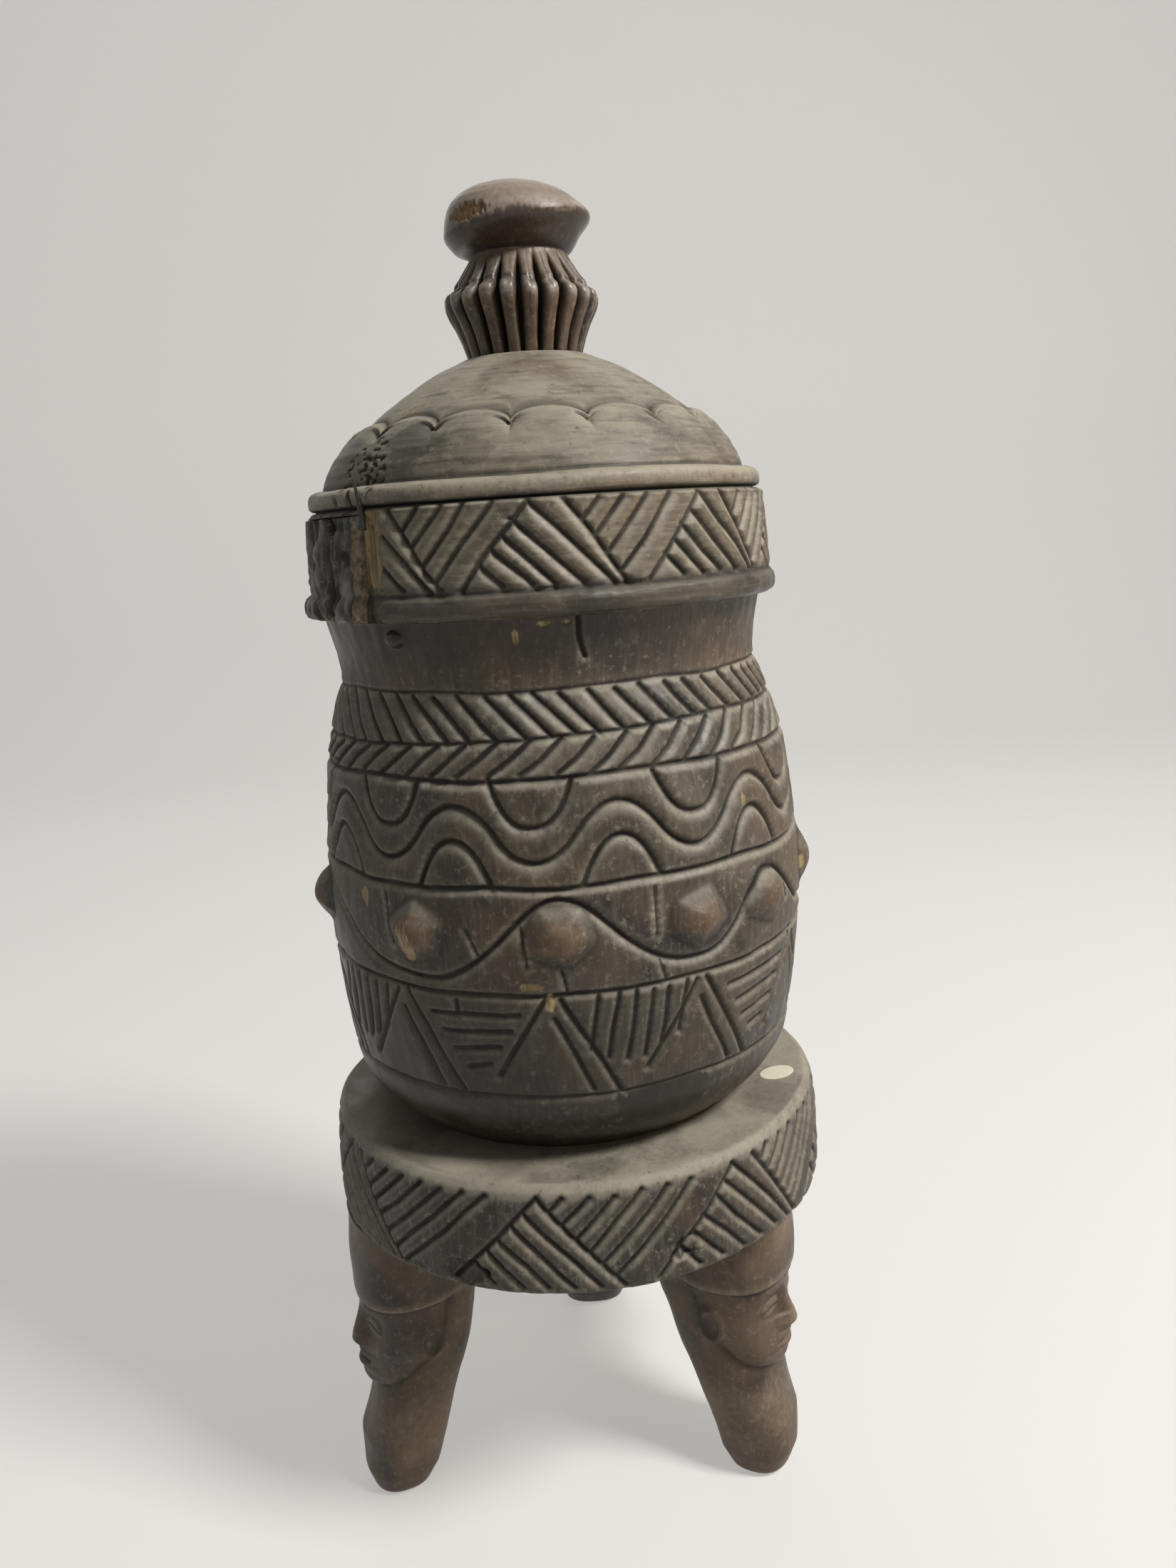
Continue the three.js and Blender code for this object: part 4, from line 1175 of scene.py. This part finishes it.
# %% Leg's slices
LEGS = {
    # name: (angle, shift, foot out, inward)
    "leg_front_left": (-68, 9, 3, 0),
    "leg_front_right": (62, -1, -2, 10),
    "leg_back": (180, 0, 0, 4),
}
POST = np.array([
    # level, inner side, outer side, width
    (0, 85, 105, 22), (2.5, 80, 108.5, 34), (10, 75.5, 111, 40), (26, 70, 111, 44),
    (44, 65, 106, 44), (62, 59, 101, 46), (90, 52, 98, 50), (PLATE_LOW, 45, 98, 54),
], float)
HEAD = np.array([
    (55, 88, 101, 15), (57, 83, 104.5, 25), (61, 77, 106.5, 36), (66, 71, 107, 43),
    (80, 64, 107, 52), (104, 60, 107, 57), (PLATE_LOW, 60, 106, 58),
], float)
CHIN, HEAD_LOW, CAP_EDGE, LEG_TOP = 55, 57, 104, PLATE_LOW
CAP_PROUD = 2.5
LEG_COLUMNS = 150
LEG_LEVELS = np.r_[
    0, 0.6, 1.4, 2.5, 4, 6, 8, np.arange(10, 54, 1.5), np.arange(54, 103.6, 0.6),
    103.9, 104.3, 104.8, 105.5, np.arange(107, LEG_TOP, 2.2), LEG_TOP,
]
SLICE_POWER = 2.5  # 2 would be an oval, and a high power a box


def slice_reach(section, start, angles):
    """How far a rounded slice reaches from a point on its long axis, at each angle."""
    inner, outer, width = section
    middle, half = (inner + outer) / 2, (outer - inner) / 2
    low, high = np.zeros_like(angles), np.full_like(angles, 90.0)
    for _ in range(26):
        r = (low + high) / 2
        x, y = (start - middle + r * np.cos(angles)) / half, r * np.sin(angles) / (width / 2)
        beyond = np.abs(x) ** SLICE_POWER + np.abs(y) ** SLICE_POWER > 1
        high, low = np.where(beyond, r, high), np.where(beyond, low, r)
    return low


def section_at(table, level):
    return [np.interp(level, table[:, 0], table[:, k]) for k in (1, 2, 3)]


print("slices in a leg:", len(LEG_LEVELS))

# %% [markdown]
# ### Face and ears
# A face is a sum of soft hills on the head's outer side. A hill has a height on the face,
# as a share from the chin to the cap's edge, and a distance from the middle in mm.


# %% Face
def hill(x, centre, width):
    return np.exp(-(((x - centre) / width) ** 2))


def face_relief(level, y, facing):
    """How far the carving stands out on the head's outer side, its dirt and its wear."""
    up = (level - CHIN) / (CAP_EDGE - CHIN)
    side = np.abs(y)
    nose = ease(up, 0.44, 0.5) * (1 - ease(up, 0.5, 1))
    wings = hill(up, 0.49, 0.05) * hill(side, 6, 3.2)
    lips = hill(up, 0.26, 0.045) + hill(up, 0.37, 0.045)
    eye = np.clip(1 - ((side - 12.5) / 7) ** 2 - ((up - 0.74) / 0.085) ** 2, 0, 1) ** 0.5
    slit = hill(up - 0.74 + 0.0004 * (side - 12.5) ** 2, 0, 0.012) * ease(eye, 0.1, 0.4)
    mouth = hill(up, 0.315, 0.014) * (1 - ease(side, 7, 10))
    out = 6.2 * nose * hill(side, 0, 4.6 + 2.2 * (up < 0.6)) + 1.6 * wings
    out = out + 2.8 * lips * hill(side, 0, 8.5) * (1 - 0.12 * hill(side, 0, 1.5) * (up > 0.33))
    out = out + 1.8 * hill(up, 0.07, 0.11) * hill(side, 0, 9)
    out = out + 2.2 * hill(up, 0.93, 0.06) * hill(side, 11, 8)
    out = out - 2.6 * hill(up, 0.76, 0.15) * hill(side, 12, 8)
    out = out + 2.2 * eye - 1.1 * slit - 1.3 * mouth
    gate = np.clip(facing, 0, 1) ** 0.6 * (level < CAP_EDGE)
    worn = np.clip(0.6 * nose * hill(side, 0, 3) + 0.4 * eye, 0, 1)
    return out * gate, np.clip(slit + mouth, 0, 1) * gate, worn * gate


def ear(level, x, side_on):
    """A small ear on each side of the head: a raised rim round a hollow."""
    off = np.hypot((x - 80) / 6.5, (level - 84) / 10.5)
    rim = hill(off, 0.82, 0.24) - 0.5 * hill(off, 0.3, 0.35)
    return 2.0 * rim * ease(side_on, 0.6, 0.85)


print("the nose stands out", round(float(face_relief(80, 0.0, 1.0)[0]), 1), "mm")

# %% [markdown]
# ### Legs
# The same leg is made three times and turned to its place. Each has its own shift, spread
# of the foot and unevenness, because a carver never cuts the same leg twice.


# %% Legs
def leg_rings(angle, shift, foot_out, inward, seed):
    """The rings of one leg from the floor to the plate, with dirt and wear."""
    turn = np.linspace(-np.pi, np.pi, LEG_COLUMNS, endpoint=False)
    turn = turn - 0.3 * np.sin(turn)
    facing, side_on = np.cos(turn), np.abs(np.sin(turn))
    round_pot = math.radians(angle - 90)
    phase = np.random.default_rng(seed).uniform(0, 6, 2)
    rings, dirt, wear = [], [], []
    for z in LEG_LEVELS:
        start = np.interp(z, [0, 10, 30, 50], [95, 93, 89, 86])
        inner, outer, width = section_at(POST, z)
        inner = inner - inward * ease(z, 20, LEG_TOP)
        reach = slice_reach((inner, outer, width), start, turn)
        crease = np.zeros_like(turn)
        if z >= HEAD_LOW:
            swell = CAP_PROUD * ease(z, CAP_EDGE, CAP_EDGE + 1.5)
            head = slice_reach(section_at(HEAD, z), start, turn) + swell
            crease = np.exp(-np.abs(head - reach) / 1.2) * (z < CAP_EDGE)
            reach = np.maximum(head, reach)
        x, y = start + reach * np.cos(turn), reach * np.sin(turn)
        out, cut, worn = face_relief(z, y, facing)
        if CHIN < z < CAP_EDGE:
            y = y + np.sign(y) * ear(z, x, side_on)
        uneven = 0.35 * np.sin(z / 9 + phase[0] + 2 * turn) - 0.45
        uneven = uneven + 0.25 * np.sin(z / 5 + phase[1] - 3 * turn)
        uneven = uneven * ease(z, 3, 10) * (1 - ease(z, LEG_TOP - 4, LEG_TOP))
        x = x + out + uneven * np.cos(turn) + shift + foot_out * (1 - z / LEG_TOP)
        y = y + uneven * np.sin(turn)
        rings.append(np.stack([*turned(x, y, round_pot), np.full(len(turn), z)], axis=-1))
        under_cap = hill(z, CAP_EDGE - 0.4, 0.9) * np.clip(facing + 0.6, 0, 1)
        dirt.append(np.clip(cut + 0.7 * crease * (facing > -0.6) + 0.8 * under_cap, 0, 1))
        shin = 0.3 * ease(z, 12, 40) * (1 - ease(z, 40, 55))
        wear.append(np.clip(worn + 0.5 * hill(z, CAP_EDGE + 2, 2) + shin, 0, 1))
    return np.array(rings), {"dirt": np.array(dirt), "wear": np.array(wear)}


legs = []
for seed, (name, row) in enumerate(LEGS.items(), 111):
    leg = skin(name.replace("leg", "carved_leg"), *leg_rings(*row, seed))
    legs.append(place(leg, "vessel", "brown_wood", name))

# %% [markdown]
# ## Materials
# All of the pot is one kind of wood, fine-grained and never varnished. Its colour comes
# from smoke, hands and dust: nearly black where it was held and smoked, grey where it
# dried, brown where it was rubbed, and yellow where a chip shows fresh wood. Painted light
# is laid in as well: painted shade under the lid's hem, on the hem itself, round the bowl's
# foot and under the knob's cap, and painted highlights on the lower lips of the cuts. A
# material is a tree of nodes. It could be wired node by node, but its layers follow the
# same few steps, so tables hold them and loops wire them.


# %% Colours and nodes
def linear(hex_colour):
    """sRGB hex to the linear values that a shader takes."""
    parts = [int(hex_colour[i : i + 2], 16) / 255 for i in (1, 3, 5)]
    return (*[c / 12.92 if c <= 0.04045 else ((c + 0.055) / 1.055) ** 2.4 for c in parts], 1)


def add(tree, kind, inputs=(), **settings):
    """Adds a node and gives its outputs; an input is a value or another node's output."""
    node = tree.nodes.new("ShaderNode" + kind)
    for key, value in settings.items():
        setattr(node, key, value)
    for key, value in dict(inputs).items():
        if isinstance(value, bpy.types.NodeSocket):
            tree.links.new(value, node.inputs[key])
        else:
            node.inputs[key].default_value = value
    return node.outputs


def blank_material(name):
    """A new material and its empty tree."""
    material = bpy.data.materials.new(name)
    material.use_nodes = True
    material.node_tree.nodes.clear()
    return material, material.node_tree


def paint(material, *pieces):
    """Gives each piece this one material."""
    for piece in pieces:
        piece.data.materials.clear()
        piece.data.materials.append(material)


print("linear value of middle grey:", round(linear("#808080")[0], 3))

# %% [markdown]
# ### Old carved wood
# Wood has an IOR of about 1.5. Hands and smoke have closed its pores, so the patina has
# a roughness of 0.4 to 0.6, where dry wood has 0.7. Fibres are 0.8 mm wide and some
# 20 mm long. They run up the log on the sides. On the dome the knife went round, so
# there the same noise is stretched level. To the eye this gives a dark, silky surface
# with faint lines, brown where it is rubbed, with a film of pale dust on what looks up.
# Noises and marks are read through ranges, the ranges are combined by sums, and the
# colours are then laid over each other, from the patina up.

# %% Wood
FIBRE = 0.8  # mm, width of a fibre line; a noise's size is twice that of its lines
CLOUD = 38  # mm, size of the lighter and darker patches
SPECK = 1.6  # mm, size of dust specks and pores
GRAIN = 0.9  # mm, width of a line in bare wood
# The third black colours the "dark" mark: real soot and the glossy foot patch, and painted shade
# under the lid's hem, on the hem, round the bowl's foot and under the knob's cap.
PORE_BLACK, CUT_DIRT, SOOT_AND_SHADE_BLACK = "#14110d", "#0d0b09", "#1d1914"
LATE_GRAIN, FRESH_WOOD = "#56452b", "#9a8760"


def old_wood(name, patina, worn, brown, dust, bare=FRESH_WOOD, fibre_run="up", lines=0.4,
             roughness=(0.42, 0.62), film=0.6):
    """Old wood from its colours, its run of fibre, and how strong lines and dust are."""
    material, tree = blank_material(name)
    place_on = add(tree, "TexCoord")["Object"]
    stretch = (1, 1, 0.05) if fibre_run == "up" else (0.12, 0.12, 1)
    drawn_out = add(tree, "Mapping", {"Vector": place_on, "Scale": stretch})[0]
    moved = add(tree, "Mapping", {"Vector": place_on, "Location": (0.31, 0.17, 0.23)})[0]
    upright = add(tree, "Mapping", {"Vector": moved, "Scale": (1, 1, 0.06)})[0]
    normal = add(tree, "NewGeometry")["Normal"]

    read = {"faces up": add(tree, "SeparateXYZ", {"Vector": normal})["Z"]}
    for key in ("dirt", "wear", "bare", "dark", "brown"):
        read[key] = add(tree, "Attribute", attribute_name=key)["Fac"]
    noises = {
        # name: (where it is read, size in mm, detail, roughness, distortion)
        "fibres": (drawn_out, FIBRE * 2, 4, 0.55, 0),
        "clouds": (place_on, CLOUD, 6, 0.6, 0.5),
        "far clouds": (moved, CLOUD * 1.7, 4, 0.55, 0.3),
        "specks": (place_on, SPECK * 2, 4, 0.7, 0),
        "grain": (upright, GRAIN * 2, 4, 0.6, 0),
    }
    for key, (where, size, detail, rough, bent) in noises.items():
        read[key] = add(tree, "TexNoise", {
            "Vector": where, "Scale": 1 / (size * MM), "Detail": detail, "Roughness": rough,
            "Distortion": bent,
        })[0]

    ranges = {
        # name: (what is read, from, to, and what these become)
        "lighter": ("clouds", 0.38, 0.64, 0, 1),
        "rubbed": ("far clouds", 0.5, 0.7, 0, 0.75),
        "settled": ("faces up", 0.15, 0.85, 0, film),
        "patchy": ("clouds", 0.36, 0.56, 0.35, 1),
        "wiped": ("brown", 0, 1, 1, 0.4),
        "pale lines": ("fibres", 0.5, 0.72, 0, 0.35 * lines),
        "dark lines": ("fibres", 0.47, 0.28, 0, 0.6 * lines),
        "broken": ("specks", 0.34, 0.56, 0.45, 1),
        "dust specks": ("specks", 0.55, 0.7, 0, 0.4),
        "pores": ("specks", 0.38, 0.28, 0, 0.6),
        "late grain": ("grain", 0.36, 0.6, 0, 1),
        "dull": ("clouds", 0.35, 0.65, *roughness),
    }
    for key, (source, low, high, least, most) in ranges.items():
        read[key] = add(tree, "MapRange", {
            "Value": read[source], "From Min": low, "From Max": high, "To Min": least,
            "To Max": most,
        })["Result"]

    sums = [
        # result, operation, and what it takes
        ("rubbed", "MAXIMUM", "rubbed", "brown"),
        ("settled", "MULTIPLY", "settled", "patchy"),
        ("settled", "MULTIPLY", "settled", "wiped"),
        # The wear mark is painted pale; on the cuts' lower lips it is partly wear and partly a
        # painted highlight.
        ("lips", "MULTIPLY", "wear", "broken"),
        ("lips", "MULTIPLY", "lips", 0.92),
        ("soiled", "MULTIPLY", "dirt", 0.96),
        # The "dark" mark mixes real soot and glossy patches with painted shade.
        ("soot_and_shade", "MULTIPLY", "dark", 0.9),
        ("dull", "MULTIPLY_ADD", "settled", 0.25, "dull"),
        ("dull", "MULTIPLY_ADD", "dirt", 0.3, "dull"),
        ("dull", "MULTIPLY_ADD", "dark", -0.18, "dull"),
        ("height", "MULTIPLY", "specks", 0.7),
        ("height", "MULTIPLY_ADD", "fibres", 0.8 * lines, "height"),
    ]
    for key, operation, *terms in sums:
        values = {i: read.get(term, term) for i, term in enumerate(terms)}
        read[key] = add(tree, "Math", values, operation=operation)[0]

    layers = [
        # how much of it shows, colour
        ("lighter", worn), ("rubbed", brown), ("settled", dust), ("pale lines", dust),
        ("dark lines", patina), ("lips", dust), ("dust specks", dust), ("pores", PORE_BLACK),
        ("soiled", CUT_DIRT), ("soot_and_shade", SOOT_AND_SHADE_BLACK),
    ]
    colour = linear(patina)
    for key, over in layers:
        inputs = {0: read[key], 6: colour, 7: linear(over)}
        colour = add(tree, "Mix", inputs, data_type="RGBA")[2]
    grain = {0: read["late grain"], 6: linear(LATE_GRAIN), 7: linear(bare)}
    grain = add(tree, "Mix", grain, data_type="RGBA")[2]
    colour = add(tree, "Mix", {0: read["bare"], 6: colour, 7: grain}, data_type="RGBA")[2]

    bump = {"Height": read["height"], "Strength": 0.5, "Distance": 0.4 * MM}
    shader = add(tree, "BsdfPrincipled", {
        "Base Color": colour, "Roughness": read["dull"], "Normal": add(tree, "Bump", bump)[0],
        "IOR": 1.5, "Specular IOR Level": 0.35,
    })
    add(tree, "OutputMaterial", {"Surface": shader[0]})
    return material


print("fibres", FIBRE, "mm wide, specks", SPECK, "mm and clouds", CLOUD, "mm")

# %% [markdown]
# ### Finishes
# The bowl hung in smoke and is nearly black. The lid and the plate caught the dust and
# look grey. The legs are brown from being held, and the knob, which every hand took, is
# the smoothest and shines a little. The broken piece was charred, and it is dull.

# %% Finishes
WOODS = {
    # name: (pieces, patina, worn, brown, dust, and what differs from the usual)
    "smoked_wood": ([bowl], "#241f1a", "#4f463a", "#594633", "#979080", {}),
    "dusty_wood": (
        [lid], "#3a352c", "#655d4f", "#6a5844", "#9d9583",
        {"fibre_run": "round", "lines": 0.9, "film": 0.8},
    ),
    "dusty_plate_wood": ([plate], "#1f1b17", "#3c362d", "#503f2e", "#9a9382", {"film": 0.9}),
    "handled_brown_wood": (
        legs, "#2a211a", "#594837", "#6e5842", "#8c7d69",
        {"lines": 0.2, "roughness": (0.36, 0.55)},
    ),
    "polished_knob_wood": (
        [knob], "#33281d", "#624e3a", "#735c45", "#a2978a",
        {"roughness": (0.26, 0.42), "film": 0.45, "bare": "#86673a"},
    ),
    "charred_wood": (
        [fragment, splinter], "#191612", "#3a352e", "#40352a", "#8a857a",
        {"bare": "#9a9077", "roughness": (0.4, 0.65)},
    ),
}
for name, (pieces, *colours, unusual) in WOODS.items():
    paint(old_wood(name, *colours, **unusual), *pieces)
print("finishes:", list(WOODS))

# %% [markdown]
# ### Glue line and label
# The glue line is old putty mixed with wood dust: grey-brown, matt and crumbly. The
# label is uncoated paper, cream with age, with a roughness near 0.9 and fibres of a
# tenth of a millimetre, drawn at 0.5 mm so that they show.


# %% Glue and paper
def crumbly(name, dark, light, size, roughness, bump_depth):
    """A matt, mottled material; size and bump_depth are in mm."""
    material, tree = blank_material(name)
    place_on = add(tree, "TexCoord")["Object"]
    scale = 1 / (size * MM * 2)
    grit = {"Vector": place_on, "Scale": scale, "Detail": 6, "Roughness": 0.7}
    grit = add(tree, "TexNoise", grit)[0]
    sifted = add(tree, "MapRange", {"Value": grit, "From Min": 0.35, "From Max": 0.65})["Result"]
    colour = {0: sifted, 6: linear(dark), 7: linear(light)}
    colour = add(tree, "Mix", colour, data_type="RGBA")[2]
    bump = add(tree, "Bump", {"Height": grit, "Strength": 0.6, "Distance": bump_depth * MM})
    shader = add(tree, "BsdfPrincipled", {
        "Base Color": colour, "Roughness": roughness, "Normal": bump[0], "IOR": 1.5,
    })
    add(tree, "OutputMaterial", {"Surface": shader[0]})
    return material


paint(crumbly("old_putty", "#3f382c", "#8b7d65", 1.4, 0.8, 0.8), glue)
paint(crumbly("aged_paper", "#cfc6ae", "#e2dac4", 0.5, 0.9, 0.05), label)
print("glue and paper painted")

# %% [markdown]
# ## Floor and backdrop
# The pot stands on a pale paper floor that sweeps up behind it. Rays that show the
# surroundings, to the camera or in gloss, see it glow a little, so that it stays pale
# without more light on the pot. All other rays meet plain matt paper.


# %% Floor and backdrop
def sweep(name, half_width, front, back, height, bend):
    """A floor that bends up into a backdrop."""
    turn = np.linspace(0, math.pi / 2, 16)[1:]
    line = [(front, 0.0), (back - bend, 0.0)]
    line += [(back - bend + bend * math.sin(t), bend - bend * math.cos(t)) for t in turn]
    line.append((back, height))
    points = [(x, y, z) for y, z in line for x in (-half_width, half_width)]
    faces = [(2 * i, 2 * i + 1, 2 * i + 3, 2 * i + 2) for i in range(len(line) - 1)]
    mesh = bpy.data.meshes.new(name)
    mesh.from_pydata(points, [], faces)
    mesh.shade_smooth()
    piece = bpy.data.objects.new(name, mesh)
    bpy.context.scene.collection.objects.link(piece)
    return piece


def seen_ray(tree):
    """1 for rays that show the surroundings: to the camera, in gloss and through glass."""
    ray = add(tree, "LightPath")
    seen = ray["Is Camera Ray"]
    for kind in ("Is Glossy Ray", "Is Transmission Ray"):
        seen = add(tree, "Math", {0: seen, 1: ray[kind]}, operation="MAXIMUM")[0]
    return seen


floor = sweep("floor_and_backdrop", 4.0, -3.0, 2.6, 3.5, 0.8)
floor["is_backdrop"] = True
pale, pale_tree = blank_material("pale_paper_sweep")
paper = add(pale_tree, "BsdfPrincipled", {
    "Base Color": linear("#e9e6e1"), "Roughness": 0.95, "Specular IOR Level": 0.1,
})[0]
glow = add(pale_tree, "Emission", {"Color": linear("#f2f0ec"), "Strength": 1.0})[0]
glowing = {0: seen_ray(pale_tree), 1: 0.45}
glowing = add(pale_tree, "Math", glowing, operation="MULTIPLY")[0]
both = add(pale_tree, "MixShader", {0: glowing, 1: paper, 2: glow})[0]
add(pale_tree, "OutputMaterial", {"Surface": both})
paint(pale, floor)
print("floor and backdrop:", len(floor.data.vertices), "points")

# %% [markdown]
# ## Light
# A large soft lamp from the upper right, in front, stands for the window of the
# photograph. A weaker warm one low on the right gives that side its warmth, a faint one
# fills the left, and one behind lifts the outline off the backdrop. The sky is pale
# where it is seen and much weaker where it lights the pot.

# %% Light
LAMPS = {
    # name: (place, watts, size in metres, colour)
    "window": ((1.34, -0.76, 1.86), 54.0, 0.5, "#ffffff"),
    "side": ((1.7, -0.35, 0.45), 5.0, 0.7, "#ffe3c4"),
    "fill": ((-1.6, -1.3, 0.7), 0.4, 1.6, "#ffffff"),
    "rim": ((-0.3, 1.5, 1.5), 5.0, 1.2, "#ffffff"),
}
AIM = Vector((0, 0, 0.33))
SKY_LIGHT, SKY_SEEN = 0.14, 0.72

for name, (where, watts, size, colour) in LAMPS.items():
    lamp = bpy.data.lights.new(name, "AREA")
    lamp.energy, lamp.size, lamp.color = watts, size, linear(colour)[:3]
    holder = bpy.data.objects.new(name, lamp)
    bpy.context.scene.collection.objects.link(holder)
    holder.location = where
    holder.rotation_euler = (Vector(where) - AIM).to_track_quat("Z", "Y").to_euler()

world = bpy.data.worlds.new("studio")
bpy.context.scene.world = world
world.use_nodes = True
sky = world.node_tree.nodes["Background"]
sky.inputs["Color"].default_value = linear("#f2f2f4")
seen = {"Value": seen_ray(world.node_tree), "To Min": SKY_LIGHT, "To Max": SKY_SEEN}
sky_level = add(world.node_tree, "MapRange", seen)["Result"]
world.node_tree.links.new(sky_level, sky.inputs["Strength"])
bpy.context.scene.view_settings.view_transform = "Standard"
print("lamps:", list(LAMPS))

# %% [markdown]
# ## Size and finish
# The rebuilt pot has to stay inside the frame's box. Both boxes are shown side by side as
# the last value.

# %% Size and finish
corners = lambda box: [[float(v) for v in corner] for corner in box]
{"cad": corners(cad_box), "visual": corners(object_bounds())}
